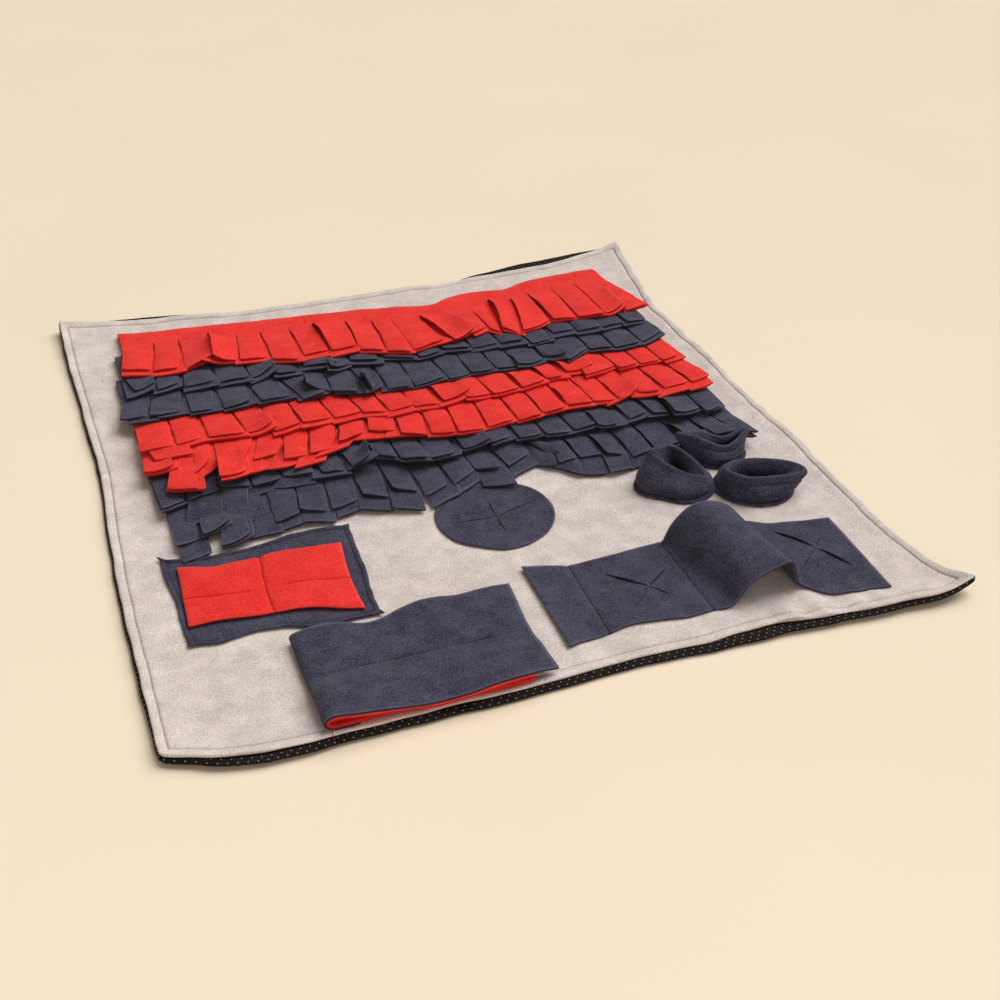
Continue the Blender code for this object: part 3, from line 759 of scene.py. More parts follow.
# A tab: where its left cut starts, its two tip corners, how far the under layer's tip lies from
# the upper one's, and how far the two corners and the two sides lift off the cloth in front.
TAB_COLUMNS = "cut left_x left_y right_x right_y dx dy left_tip right_tip left right"
Tab = namedtuple("Tab", TAB_COLUMNS, defaults=(0, 0, 0, 0))
Strip = namedtuple("Strip", "finish slot tabs")
FRINGE = (
    Strip(RED, "red_fleece", rows(
        Tab,
        (-298, -308, 241, -276, 228, 0, -11), (-262, -275, 224, -246, 224, 2, -9),
        (-234, -242, 216, -201, 234, 7, 2, 0, 9, 0, 6),
        (-200, -208, 221, -182, 217, -10, -1, 5, 0, 9), (-168, -179, 218, -149, 216, 1, -6),
        (-140, -144, 208, -116, 196, 1, -4), (-106, -109, 206, -78, 210, -1, -11, 0, 1, 0, 2),
        (-78, -77, 205, -46, 209, -2, -13, 0, 1, 9, 1), (-39, -46, 199, -20, 185, 0, -4, 0, 0, 6),
        (-9, -18, 181, 8, 170, 1, -1), (14, 11, 172, 51, 189, 0, -2),
        (49, 62, 179, 93, 197, 10, 5, 2, 2, 6, 3), (83, 84, 190, 109, 202, 5, -4, 0, 1, 0, 2),
        (111, 110, 200, 123, 183, 0, -6, 0, -1, 0, -2), (140, 123, 195, 139, 173, 2, -5, 1, 0, 7),
        (167, 144, 177, 186, 195, 1, -1, 0, 0, 5, 2), (191, 188, 194, 217, 188, 1, -1, 0, 0, 2),
        (224, 218, 187, 249, 184, 1, 0), (256, 250, 183, 279, 196, 2, -3, 0, 1, 1),
        (284, 277, 183, 311, 195, 0, 1, 1, 0, 0, 1),
    )),
    Strip(NAVY, "navy_fleece", rows(
        Tab,
        (-309, -301, 191, -276, 199, -8, -13), (-273, -277, 182, -250, 194, -1, -6),
        (-243, -248, 181, -215, 182, 1, -8), (-210, -210, 177, -176, 181, 2, -7),
        (-176, -175, 175, -144, 194, -1, -10, 0, 3), (-145, -147, 178, -122, 177, -2, -6),
        (-115, -114, 186, -77, 178, 0, -6, 0, 2), (-83, -89, 163, -63, 174, -3, -5),
        (-55, -61, 182, -31, 168, 0, -8, 0, 2), (-23, -24, 176, 10, 161, -2, -1),
        (12, 14, 158, 41, 166, 0, -3, 2, 2), (44, 45, 171, 77, 168, -2, -5, 2),
        (77, 78, 165, 109, 166, -1, -7), (109, 112, 164, 139, 162, -1, -9),
        (141, 144, 146, 171, 153, -1, -2), (173, 178, 167, 206, 167, -1, -9),
        (204, 206, 161, 235, 161, -2, -7), (234, 235, 158, 265, 164, 0, -6),
        (265, 267, 160, 294, 162, -4, -4),
    )),
    Strip(NAVY, "navy_fleece", rows(
        Tab,
        (-315.5, -325, 131, -296, 127, 10, -9), (-283, -294, 126, -261, 128, 10, -3),
        (-249, -251, 121, -226, 122, 5, -2), (-216, -216, 118, -186, 127, 6, -3, 0, 0, 0, 1),
        (-181, -176, 120, -143, 121, 2, -2, 0, 1, 0, 2), (-145, -133, 108, -106, 114, 2, 1, 0, 1),
        (-118, -125, 124, -99, 118, 9, -2, 6, 2, 9, 3),
        (-94, -99, 112, -72, 103, 3, -2, 3, 1, 0, 3), (-65, -60, 90, -50, 114, 0, -1, 9, 2, 12, 3),
        (-38, -40, 100, -15, 98, -1, 0), (-7, -11, 96, 25, 105, 0, -2),
        (27, 30, 100, 57, 107, 1, -1), (58, 58, 107, 85, 106, 1, -2),
        (87, 87, 108, 111, 103, 0, -4), (114, 110, 100, 144, 110, 0, -4),
        (145, 146, 118, 170, 104, -1, -7, 0, 0, 2), (173, 166, 93, 202, 118, 1, -1),
        (204, 202, 115, 229, 109, 0, -4), (233, 230, 106, 263, 110, 0, -4),
        (265, 265, 109, 299, 131, 1, -6),
    )),
    Strip(RED, "red_fleece", rows(
        Tab,
        (-311, -315, 59, -279, 58, 14, -21), (-275, -277, 58, -250, 66, 7, -4),
        (-243, -243, 64, -206, 61, 2, -4), (-209, -204, 60, -174, 68, 1, -6),
        (-178, -176, 53, -147, 62, -1, -7), (-148, -145, 61, -112, 60, -1, -8),
        (-116, -111, 58, -80, 63, -2, -9), (-86, -80, 60, -54, 55, -1, -7),
        (-57, -52, 54, -24, 59, -3, -10), (-28, -24, 56, 3, 50, -2, -7),
        (2, 8, 53, 44, 64, -3, -10, 0, 1, 4), (33, 33, 54, 63, 53, 0, -4),
        (61, 63, 50, 96, 55, 0, -2), (93, 98, 54, 128, 64, 0, -3, 0, 0, 4),
        (123, 130, 66, 150, 66, 4, -2, 0, 0, 4), (151, 157, 75, 192, 75, 0, -5, 0, 0, 3),
        (180, 173, 59, 215, 68, 1, -2), (211, 215, 61, 242, 65, 1, -1),
        (240, 243, 64, 268, 66, 1, -1), (267, 269, 62, 291, 68, 7, -5, 0, 0, 0, 1),
    )),
    Strip(RED, "red_fleece", rows(
        Tab,
        (-312, -317, 14, -286, 12, 2, -1, 2, 2), (-284, -300, -26, -270, -37, 1, 1),
        (-259, -270, -5, -247, 26, 9, -8), (-237, -250, -40, -219, -22, 3, -1, 5, 3, 6, 5),
        (-213, -242, 10, -216, 10, 5, -29), (-190, -209, 5, -181, 10, 8, -23),
        (-162, -180, -5, -154, -6, -16, -12), (-134, -153, -6, -124, -1, -19, -20),
        (-104, -120, 7, -89, 20, -26, -21, 1, 2), (-73, -84, 23, -56, 12, -27, -6, 1, 0, 2),
        (-44, -55, 4, -28, -7, -4, 2), (-16, -25, -8, 0, -16, 0, -2), (12, 1, -17, 32, -17, 1, -1),
        (42, 34, -18, 66, -10, 1, -1), (72, 69, -14, 97, -8, 1, -1, 0, 0, 1),
        (101, 98, -8, 125, -4, 1, -1, 0, 0, 1), (130, 129, 0, 158, -2, 0, -5, 0, 0, 4),
        (159, 158, -2, 184, -5, 0, -3), (186, 187, -6, 214, 5, -14, -6, 0, 0, 1),
        (214, 213, 0, 236, -5, -7, -5), (241, 242, -2, 274, 5, -9, -14),
        (272, 276, 1, 303, 10, -5, -16),
    )),
    Strip(NAVY, "navy_fleece", rows(
        Tab,
        (-312, -310, -49, -285, -40, 1, -2), (-277, -283, -41, -251, -33, -6, -36),
        (-246, -249, -27, -219, -37, -13, -28), (-215, -218, -37, -188, -32, -10, -9),
        (-184, -186, -30, -155, -34, -13, -9, 1), (-152, -148, -35, -125, -37, 0, -6),
        (-122, -118, -40, -98, -41, 3, 2, 2, 16, 2, 14), (-93, -90, -21, -69, -38, 2, -3, 3, 3, 4),
        (-65, -68, -41, -41, -50, 1, -2, 3, 3), (-36, -40, -52, -12, -48, 1, -1, 3, 2, 0, 2),
        (-4, -1, -41, 29, -39, 0, -1, 1, 1, 3, 1), (28, 28, -43, 54, -34, 2, -1, 1, 1, 0, 2),
        (57, 60, -41, 87, -40, 1, -1, 1, 1, 3), (88, 89, -44, 117, -46, 1, -1),
        (117, 120, -44, 145, -40, 0, -3), (146, 144, -49, 167, -48, 1, -1),
        (176, 183, -42, 206, -34, -4, -6, 0, 1, 2), (207, 211, -39, 229, -43, -2, -3, 0, 0, 1),
        (233, 228, -55, 264, -47, 2, -1, 0, 0, 1), (264, 264, -57, 289, -49, 3, 1),
    )),
    Strip(NAVY, "navy_fleece", rows(
        Tab,
        (-305, -307, -110, -282, -103, 5, -21), (-278, -280, -103, -251, -93, 1, 0, 3, 3),
        (-254, -267, -125, -236, -117, 2, 0), (-232, -254, -90, -228, -89, 13, -23),
        (-206, -210, -100, -184, -93, 2, -11), (-176, -184, -88, -157, -99, 1, -15, 2, 1),
        (-147, -154, -98, -124, -89, 6, -9, 0, 1), (-117, -119, -81, -94, -97, -5, -18, 1, 1),
        (-88, -89, -82, -65, -96, -4, -28, 1, 1), (-60, -62, -107, -34, -91, 6, -14, 0, 1),
        (-30, -29, -95, 0, -76, -1, -15, 0, 1), (-1, 0, -74, 26, -82, 1, -28, 1, 1),
        (28, 33, -81, 65, -60, 6, -14, 0, 1), (61, 77, -60, 90, -80, -10, -26),
        (84, 84, -91, 106, -87, -6, -21), (107, 108, -89, 133, -90, -6, -29, 1, 1, 2),
        (133, 134, -92, 153, -99, -4, -24, 1, 1, 2), (159, 160, -105, 184, -98, -3, -12),
        (187, 187, -100, 220, -94, 0, -2, 0, 0, 2), (218, 224, -104, 249, -105, 3, 1, 6, 6, 6),
        (247, 253, -105, 276, -105, 3, 1, 8, 8), (273, 277, -107, 297, -115, -5, -1, 8, 6),
    )),
)
LAST_ROW = len(FRINGE) - 1
# The last row's under layer ends in one curve below some of its tabs.
SCALLOP_TABS = range(13, 18)
Scallop = namedtuple("Scallop", "x y")
SCALLOP = rows(
    Scallop,
    (40, -68), (57, -73), (68.6, -84), (81.6, -94), (92.5, -107), (102, -114), (113, -118),
    (127, -120), (140, -120), (157, -118.5),
)
ACROSS_TAB = (-1.0, -0.93, -0.62, -0.22, 0.22, 0.62, 0.93, 1.0)
HEADER_LINES = 6
TAB_LINES = 22
SHADED_LINE = 2  # of ACROSS_TAB, where the under layer shows a shadow


def seam_y(row, x):
    share = row / LAST_ROW
    return mix(curve(SEAMS, "first", x), curve(SEAMS, "last", x), share)


def strip_height(row, x, y):
    """Underside of a strip at a place, over the strips in front of it."""
    along = max(0.0, seam_y(row, x) - y)
    table = CLIMBS[row]
    for low, high in zip(table, table[1:]):
        if along <= high.along:
            rise = mix(low.rise, high.rise, (along - low.along) / (high.along - low.along))
            return ground(x, y) + GAP + rise
    return ground(x, y) + GAP + table[-1].rise


def tab_plan(row, chance):
    """One strip's tabs with their small differences, and with one of two that overlap lifted."""
    plan = [
        {
            "tab": tab,
            "seed": chance.uniform(0, 50),
            "bow": chance.uniform(-0.4, 1.4),
            "curl": chance.uniform(-0.5, 1.0),
            "bend": chance.uniform(1.1, 1.7),
            "tilt": chance.uniform(-2.0, 2.0),
            **dict.fromkeys(("over_left", "over_right", "wider_left", "wider_right"), 0.0),
        }
        for tab in FRINGE[row].tabs
    ]
    for one, other in zip(plan, plan[1:]):
        overlap = one["tab"].right_x - other["tab"].left_x
        gap = -overlap
        if row < LAST_ROW:
            gap = max(gap, gap + other["tab"].dx - one["tab"].dx)
        if gap > 0:
            one["wider_right"] = other["wider_left"] = min(gap / 2, WIDEST)
        if overlap > 0.5:
            raised = other["tab"].left + other["tab"].left_tip > 2
            if raised or chance.random() < OVERLAP_SHARE:
                other["over_left"] = OVERLAP_RISE
            else:
                one["over_right"] = OVERLAP_RISE
    return plan


def fringe_layer(row, plan, upper):
    """One of a strip's two layers: a sheet with its cuts opened and each tab laid in place."""
    across = len(ACROSS_TAB) - 1
    cells = across * len(plan)
    lines = HEADER_LINES + TAB_LINES
    mesh = grid(range(cells + 1), range(lines + 1))
    shade = mesh.verts.layers.float.new("shade")
    cuts = [
        side
        for side in mesh.edges
        if all(
            round(vert.co.x) % across == 0
            and 0 < round(vert.co.x) < cells
            and round(vert.co.y) >= HEADER_LINES
            for vert in side.verts
        )
    ]
    bmesh.ops.split_edges(mesh, edges=cuts)
    owner = {}
    for face in mesh.faces:
        index = int(face.calc_center_median().x // across)
        for vert in face.verts:
            if round(vert.co.y) > HEADER_LINES:
                owner[vert] = index
    step, shift = (LAYER_STEP, 0.0) if upper else (0.0, UNDER_SHIFT)
    covered = COVERED if row else 0.0
    inner = [item["tab"].cut + shift for item in plan[1:]]
    bounds = [plan[0]["tab"].cut, *inner, ROW_END]

    def lying(x, y):
        return strip_height(row, x, y) + step + LAYER_T

    def header_point(x, share):
        depth = HEADER_DEPTH + 3.0 * wander(x, row * 40.0, 30.0, 2.0)
        y = seam_y(row, x) - depth * share
        puff = 1.2 * hill(clamp(share * 1.2)) if upper else 0.0
        return Vector((x, y, lying(x, y) + puff + 0.5 * wander(x, y, 22.0, row + 5.0)))

    def tab_point(index, w, s):
        """A tab's point: w from -1 to 1 across it, s from 0 at its root to 1 at its tip."""
        item = plan[index]
        tab = item["tab"]
        a = (1 + w) / 2
        root = header_point(mix(bounds[index], bounds[index + 1], a), 1.0)
        tip_x, tip_y = mix(tab.left_x, tab.right_x, a), mix(tab.left_y, tab.right_y, a)
        tip_y -= 1.3 * (1 - w * w) + 1.4 * wander(w * 20, item["seed"], 14.0, 1.0)
        if upper:
            tip_y += 1.7 * w**8
            tip_x -= 0.9 * w**7
        else:
            wider = item["wider_right"] * clamp(w) - item["wider_left"] * clamp(-w) + 1.2 * w
            tip_x, tip_y = tip_x + tab.dx + wider, tip_y + tab.dy
            if row == LAST_ROW and index in SCALLOP_TABS:
                share = clamp(-w) if index == SCALLOP_TABS[-1] else 1.0
                tip_y = mix(tip_y, curve(SCALLOP, "y", tip_x), share)
        x, y = mix(root.x, tip_x, s ** item["bend"]), mix(root.y, tip_y, s)
        x += 0.7 * wander(y, item["seed"], 14.0, 3.0) * ease(s * 4) * ease(3 - 3 * s)
        if upper:
            x -= 0.8 * w * hill(s**0.8)
        shown = clamp((s - covered) / (1 - covered))
        z = mix(root.z, lying(x, y), ease(s * 3))
        hump = hill(shown**0.7)
        soft = ease(s * 3) * (1.0 if upper else 0.6)
        left, right = clamp(-w), clamp(w)
        lift = (tab.left * left**1.3 + tab.right * right**1.3) * hump * (1.0 if upper else 0.15)
        lift += mix(tab.left_tip, tab.right_tip, a) * shown**1.5
        over = item["over_left"] * left + item["over_right"] * right
        lift += over * ease(shown * 1.6)
        lift += item["bow"] * hill(shown) + item["curl"] * shown**4
        tilted = (abs(item["tilt"]) + item["tilt"] * w) * shown
        lift += tilted
        y -= 1.1 * tilted * s
        lift -= 1.2 * w * w * soft
        lift += 1.1 * wander(x, y + item["seed"], 17.0, item["seed"]) * soft
        if not upper:
            lift *= 0.8
            if row > 4 and tab.dy < -8:
                lift -= 0.6 * (z - LAYER_T - GAP - ground(x, y)) * ease(3 * shown - 2)
        return Vector((x, y, max(z + lift, ground(x, y) + GAP + LAYER_T)))

    spots = {}
    for vert in mesh.verts:
        column, line = round(vert.co.x), round(vert.co.y)
        if line > HEADER_LINES:
            place = column - owner[vert] * across
            s = (line - HEADER_LINES) / TAB_LINES
            spots[vert] = tab_point(owner[vert], ACROSS_TAB[place], s)
            if not upper and place == SHADED_LINE:
                vert[shade] = 0.8 * ease(4 - 4.4 * s)
        else:
            index = min(column // across, len(plan) - 1)
            w = ACROSS_TAB[column - index * across]
            x = mix(bounds[index], bounds[index + 1], (w + 1) / 2)
            spots[vert] = header_point(x, line / HEADER_LINES)
    settle(mesh, spots, lambda vert: (vert.co.x * 0.004, vert.co.y * 0.006))
    return mesh


def fringe_row(row, chance):
    plan = tab_plan(row, chance)
    whole = fringe_layer(row, plan, True)
    under = fringe_layer(row, plan, False)
    held = bpy.data.meshes.new("layer")
    under.to_mesh(held)
    whole.from_mesh(held)
    under.free()
    bpy.data.meshes.remove(held)
    mark_cut_edges(whole)
    bmesh.ops.reverse_faces(whole, faces=whole.faces)
    strip = FRINGE[row]
    name = f"fringe_row_{row + 1}"
    piece = finished(name, whole, strip.finish, strip.slot, [name], LAYER_T)
    middles = [((t["tab"].left_x + t["tab"].right_x) / 2, t["tab"].right_y) for t in plan]
    length = sum(seam_y(row, x) - y for x, y in middles) / len(middles)


# ---- flat pieces ----

PIECE_T = 1.5
DISC_SEAM = 53.9
DISC_SLITS = rows(
    Slit,
    ((-4.0, -124.0), (-4.8, -154.0), 0.9, 0.9, 0.6),
    ((-4.8, -154.0), (-4.6, -183.0), 0.9, 0.9, 0.8),
    ((-48.0, -151.0), (-4.8, -154.0), 0.6, 0.7, 0.6),
    ((-4.8, -154.0), (44.0, -139.0), 0.6, 0.7, 0.6),
)


def disc():
    centre = Vector((-5.0, -151.0))
    crossing = Vector((-4.0, -154.5))
    turn = Matrix.Rotation(math.radians(3.0), 2)
    mesh = grid(evenly(-1, 1, 40), evenly(-1, 1, 40))

    def place(u, v, _):
        flat = Vector((u * math.sqrt(1 - v * v / 2), v * math.sqrt(1 - u * u / 2)))
        out = flat.length
        middle = crossing.lerp(centre, out * out)
        angle = math.atan2(flat.y, flat.x)
        radius = 58.5 + 0.7 * math.sin(3 * angle + 1) + 0.4 * wander(angle * 9, 0, 3.0, 4.0)
        x, y = middle + turn @ flat * radius
        inset = (1 - out) * radius
        z = ground(x, y) + GAP + PIECE_T + 0.35 + 0.7 * bell(inset - 2.4, 3.2)
        z -= 0.8 * bell(inset - 4.6, 1.6) + 0.4 * bell(inset, 1.6)
        z += 0.35 * wander(x, y, 14.0, 9.0)
        dent = bell(angle + 2.2, 0.5) * out**6
        return x + 1.6 * dent, y + 2.2 * dent, z

    lay_out(mesh, place)
    for row in DISC_SLITS:
        slit(mesh, *row)
    mark_cut_edges(mesh)
    piece = finished("disc", mesh, NAVY, "navy_fleece", ["disc"], PIECE_T, even=False)
    ring = [
        (centre.x + DISC_SEAM * math.cos(angle), centre.y + DISC_SEAM * math.sin(angle))
        for angle in evenly(0, 2 * math.pi, 90)
    ]
    line = [(x, y, ground(x, y) + GAP + PIECE_T + 0.1) for x, y in ring]
    stitches("disc_stitches", [line], 3.0, NAVY_THREAD, "navy_fleece")


Bend = namedtuple("Bend", "share x y")
Outline = namedtuple("Outline", "front back left right")
PATCH_OUTLINE = Outline(
    front=rows(
        Bend,
        (0.0, -320, -256), (0.15, -295, -260), (0.32, -266, -256), (0.48, -239, -257.5),
        (0.64, -213, -265.5), (0.80, -184.5, -266.5), (1.0, -151.5, -265),
    ),
    back=rows(
        Bend,
        (0.0, -323, -116.5), (0.06, -314, -121), (0.22, -284, -126.5), (0.50, -233, -125.5),
        (0.73, -192, -117.5), (0.90, -161, -117.5), (1.0, -143.5, -121),
    ),
    left=rows(
        Bend,
        (0.0, -320, -256), (0.2, -320.6, -228), (0.5, -320.4, -188.5), (0.75, -323.4, -150),
        (1.0, -323, -116.5),
    ),
    right=rows(
        Bend,
        (0.0, -151.5, -265), (0.22, -151, -234), (0.4, -147.5, -206), (0.6, -146.3, -178),
        (1.0, -143.5, -121),
    ),
)
POCKET_OUTLINE = Outline(
    front=rows(
        Bend,
        (0.0, -315.8, -232.3), (0.18, -288.9, -232.3), (0.35, -261.8, -236.0),
        (0.50, -240.0, -237.5), (0.63, -220.0, -238.6), (0.75, -202.4, -242.4),
        (0.87, -183.0, -250.6), (1.0, -163.6, -256.2),
    ),
    back=rows(
        Bend,
        (0.0, -310.6, -139.3), (0.09, -296.7, -143.0), (0.19, -282.0, -149.0),
        (0.34, -258.5, -149.2), (0.45, -240.6, -148.4), (0.485, -237.0, -149.3),
        (0.54, -228.0, -146.0), (0.64, -213.3, -145.6), (0.83, -183.7, -148.0),
        (1.0, -158.4, -150.0),
    ),
    left=rows(
        Bend,
        (0.0, -315.8, -232.3), (0.46, -313.3, -189.5), (1.0, -310.6, -139.3),
    ),
    right=rows(
        Bend,
        (0.0, -163.6, -256.2), (0.46, -164.2, -206.8), (1.0, -158.4, -150.0),
    ),
)


def border(table, share):
    return Vector((edge(table, "x", share), edge(table, "y", share)))


def on_outline(outline, u, v):
    """A place on a four-sided piece whose sides all wander a little."""
    corners = [border(side, end) for side in (outline.front, outline.back) for end in (0.0, 1.0)]
    straight = corners[0].lerp(corners[1], u).lerp(corners[2].lerp(corners[3], u), v)
    along = border(outline.front, u).lerp(border(outline.back, u), v)
    across = border(outline.left, v).lerp(border(outline.right, v), u)
    return along + across - straight


PATCH_WIDTH, PATCH_DEPTH = 174, 144
PATCH_SEAM = 5.5
PATCH_RIM = (0, 0.8, 1.8, 3, 4.2, 5, PATCH_SEAM, 6, 7, 9)
CORNER_SPIKES = ((0.6, 2.2), (2.4, 1.2))  # front left and right, back left and right


def patch():
    def place(u, v, _):
        point = on_outline(PATCH_OUTLINE, u, v)
        inset_u, inset_v = min(u, 1 - u) * PATCH_WIDTH, min(v, 1 - v) * PATCH_DEPTH
        inset = min(inset_u, inset_v)
        edge_wave = clamp(1 - inset / 8) * 0.9
        x = point.x + edge_wave * wander(point.x, point.y, 13.0, 6.0)
        y = point.y + edge_wave * wander(point.x, point.y, 13.0, 8.0)
        spike = bell(inset_u, 7) * bell(inset_v, 7) * CORNER_SPIKES[v > 0.5][u > 0.5]
        x += spike * (1 if u > 0.5 else -1)
        y += spike * (1 if v > 0.5 else -1)
        z = ground(x, y) + GAP + PIECE_T + 0.45 + spike * 0.6 + 0.3 * wander(x, y, 18.0, 2.5)
        z += bell(inset - 2.2, 3.4) - bell(inset - PATCH_SEAM, 1.9) - 0.4 * bell(inset, 1.2)
        z += 1.6 * bell(inset, 10) * clamp(wander(x, y, 60.0, 11.0)) * 2
        return x, y, z

    rim_u = [inset / PATCH_WIDTH for inset in PATCH_RIM]
    rim_v = [inset / PATCH_DEPTH for inset in PATCH_RIM]
    mesh = grid(with_rim(rim_u, 46), with_rim(rim_v, 38))
    lay_out(mesh, place)
    piece = finished("patch", mesh, NAVY, "navy_fleece", ["patch"], PIECE_T)
    sides = around(PATCH_SEAM / PATCH_WIDTH, PATCH_SEAM / PATCH_DEPTH, 50, 40)
    line = [place(u, v, 0) for side in sides for u, v in side]
    stitches("patch_stitches", [line], 3.0, NAVY_THREAD, "navy_fleece")


POCKET_WIDTH, POCKET_DEPTH = 150, 100
SEAM_U, SEAM_V = 0.493, 0.45


def cross_seam(u):
    """The pocket piece's seam from left to right, which sags in the middle."""
    return SEAM_V - 0.03 * bell(u - 0.5, 0.3)


def pocket_place(u, v, _):
    x, y = on_outline(POCKET_OUTLINE, u, v)
    low = ground(x, y) + GAP + PIECE_T + 1.1 + GAP
    seam_v = cross_seam(u)
    cell_u = u / SEAM_U if u < SEAM_U else (1 - u) / (1 - SEAM_U)
    cell_v = v / seam_v if v < seam_v else (1 - v) / (1 - seam_v)
    swell_u, swell_v = (hill(clamp(cell)) for cell in (cell_u, cell_v))
    puff = 2.6 * swell_u**0.6 * swell_v**0.6
    mouth = 0.7 * swell_u * clamp(1 - v / 0.16) ** 1.5
    seams = 1.1 * bell((u - SEAM_U) * POCKET_WIDTH, 1.9)
    seams += 0.8 * bell((v - seam_v) * POCKET_DEPTH, 1.6)
    z = low + puff + mouth + 1.9 - seams + 0.3 * wander(x, y, 12.0, 5.5)
    z -= 1.8 * bell(x + 198, 24) * bell(y + 155, 10)
    y -= 0.8 * bell(u - SEAM_U, 0.04) * clamp(1 - min(v, 1 - v) * 12) * (1 if v > 0.5 else -1)
    return x, y, z


def beside(seam, size, count):
    """Evenly spaced lines with a few more of them at a seam."""
    near = [seam + offset / size for offset in (-1.8, -1.0, -0.5, 0.0, 0.5, 1.0, 1.8)]
    far = [line for line in evenly(0, 1, count) if abs(line - seam) > 2.6 / size]
    return sorted(near + far)


def patch_pocket():
    mesh = grid(beside(SEAM_U, POCKET_WIDTH, 56), beside(SEAM_V, POCKET_DEPTH, 44))
    shade = mesh.verts.layers.float.new("shade")
    for vert in mesh.verts:
        u, v, _ = vert.co
        up = bell((u - SEAM_U) * POCKET_WIDTH, 0.8)
        along = bell((v - cross_seam(u)) * POCKET_DEPTH, 0.8)
        vert[shade] = max(0.55 * up, 0.3 * along)
    lay_out(mesh, pocket_place)
    mark_cut_edges(mesh)
    piece = finished("patch_pocket", mesh, RED, "red_fleece", ["patch_pocket"], 1.8)
    lines = (
        [pocket_place(SEAM_U, v, 0) for v in evenly(0.0, 1.0, 60)],
        [pocket_place(u, cross_seam(u), 0) for u in evenly(0.0, 1.0, 80)],
    )
    stitches("pocket_stitches", lines, 3.0, RED_THREAD, "red_fleece", sink=0.2)


# ---- the folded pocket ----

ROLL_T = 2.0
LINING_T = 1.7
ROLL_SEAM_Y = -338.0
FOLD_X = -221.0  # where the two layers meet the fold between them
FOLD_LEFT = -237.5  # the fold's furthest point
FOLD_BULGE = 4.0  # how much further out than up it goes
UNDER_END = -58.0
UNDER_BACK_Y = -279.0
UNDER_FRONT_Y, LINING_FRONT_Y = -384.0, -402.0
Wave = namedtuple("Wave", "x back_y front_y back seam front")
ROLL_TOP = rows(
    Wave,
    (-238, -281, -405, 11.5, 9.6, 19.5), (-227, -279, -405, 13.5, 10.0, 20.8),
    (-211, -278, -405.5, 14.2, 10.0, 19.0), (-192, -280, -405.5, 13.4, 10.0, 16.8),
    (-172, -284, -405.5, 10.8, 9.8, 14.2), (-154, -282, -405.5, 11.0, 9.6, 12.4),
    (-138, -278, -405.5, 13.2, 9.6, 11.6), (-122, -274, -405.5, 14.6, 9.8, 12.8),
    (-104, -274, -404.5, 14.6, 10.0, 14.0), (-85, -275, -402.5, 13.0, 10.0, 15.0),
    (-60, -271, -401.5, 11.0, 9.8, 15.4), (-33, -267, -397, 8.8, 8.8, 12.6),
)


def roll_top(x, y, back_y, front_y):
    seam = curve(ROLL_TOP, "seam", x)
    if y > ROLL_SEAM_Y:
        share = (y - ROLL_SEAM_Y) / (back_y - ROLL_SEAM_Y)
        return mix(seam, curve(ROLL_TOP, "back", x), ease(share))
    share = (ROLL_SEAM_Y - y) / (ROLL_SEAM_Y - front_y)
    return mix(seam, curve(ROLL_TOP, "front", x), ease(2 * share))


def roll_layer(name, depth, thick, finish, slot, over_end):
    """The pocket or, at a depth inside it, its lining: under layer, fold and upper layer."""
    stations = [("under", x) for x in evenly(UNDER_END, FOLD_X, 42)]
    stations += [("fold", turn) for turn in evenly(0.0, 1.0, 18)[1:-1]]
    stations += [("over", x) for x in evenly(FOLD_X, over_end, 48)]

    def place(index, v, _):
        kind, where = stations[round(index)]
        plan_x = -236.0 if kind == "fold" else where
        turned = {"under": 0.0, "over": 1.0}.get(kind, where)
        back_y = mix(UNDER_BACK_Y, curve(ROLL_TOP, "back_y", plan_x), turned)
        under_front = LINING_FRONT_Y if depth else UNDER_FRONT_Y
        under_front = mix(under_front, -404.0, ease((-186.0 - plan_x) / 26.0))
        over_front = curve(ROLL_TOP, "front_y", plan_x) - (1.3 if depth else 0.0)
        y = mix(back_y, mix(under_front, over_front, turned), v)
        y += 0.8 * wander(plan_x, v * 30, 26.0, 4.0 + depth) * clamp(1 - min(v, 1 - v) * 14)
        if kind == "under":
            return where, y, front_rim(where, y) + GAP + depth
        base = front_rim(-232.0, y) + GAP
        if kind == "fold":
            high = MAT_TOP + roll_top(-223.0, y, back_y, over_front)
            radius = (high - base) / 2
            angle = math.pi * where
            out = radius + FOLD_BULGE - depth
            centre = FOLD_LEFT + radius + FOLD_BULGE
            x = centre - out * math.sin(angle) + 0.8 * wander(y, 0, 30.0, 6.0)
            return x, y, base + radius - (radius - depth) * math.cos(angle)
        fall = ease((where + 50.0) / 17.0) * 1.6
        z = MAT_TOP + roll_top(where, y, back_y, over_front) - depth - fall
        if depth:
            z = max(z, front_rim(where, y) + GAP)
        else:
            stitched = ease((-72.0 - where) / 8.0)
            z = max(z, front_rim(where, y) + GAP + 2.3)
            z -= 1.3 * bell(y - ROLL_SEAM_Y, 2.6) * stitched
            z += 0.4 * wander(where, y, 16.0, 3.0)
        hollow = 3.6 * bell(y - ROLL_SEAM_Y, 74) * ease((where + 62.0) / 28.0)
        return where + 0.8 * (y + 330) / 60 * (where > -60) - hollow, y, z

    mesh = grid(range(len(stations)), evenly(0, 1, 44))
    shade = mesh.verts.layers.float.new("shade")
    lay_out(mesh, place, lambda index, v, _: (index * 4.0, v * 125.0))
    if not depth:
        for vert in mesh.verts:
            stitched = ease((-70.0 - vert.co.x) / 5.0) * (vert.co.z > MAT_TOP + 7)
            vert[shade] = 0.45 * bell(vert.co.y - ROLL_SEAM_Y, 1.7) * stitched
    mark_cut_edges(mesh)
    piece = finished(name, mesh, finish, slot, [name], thick, up=False)


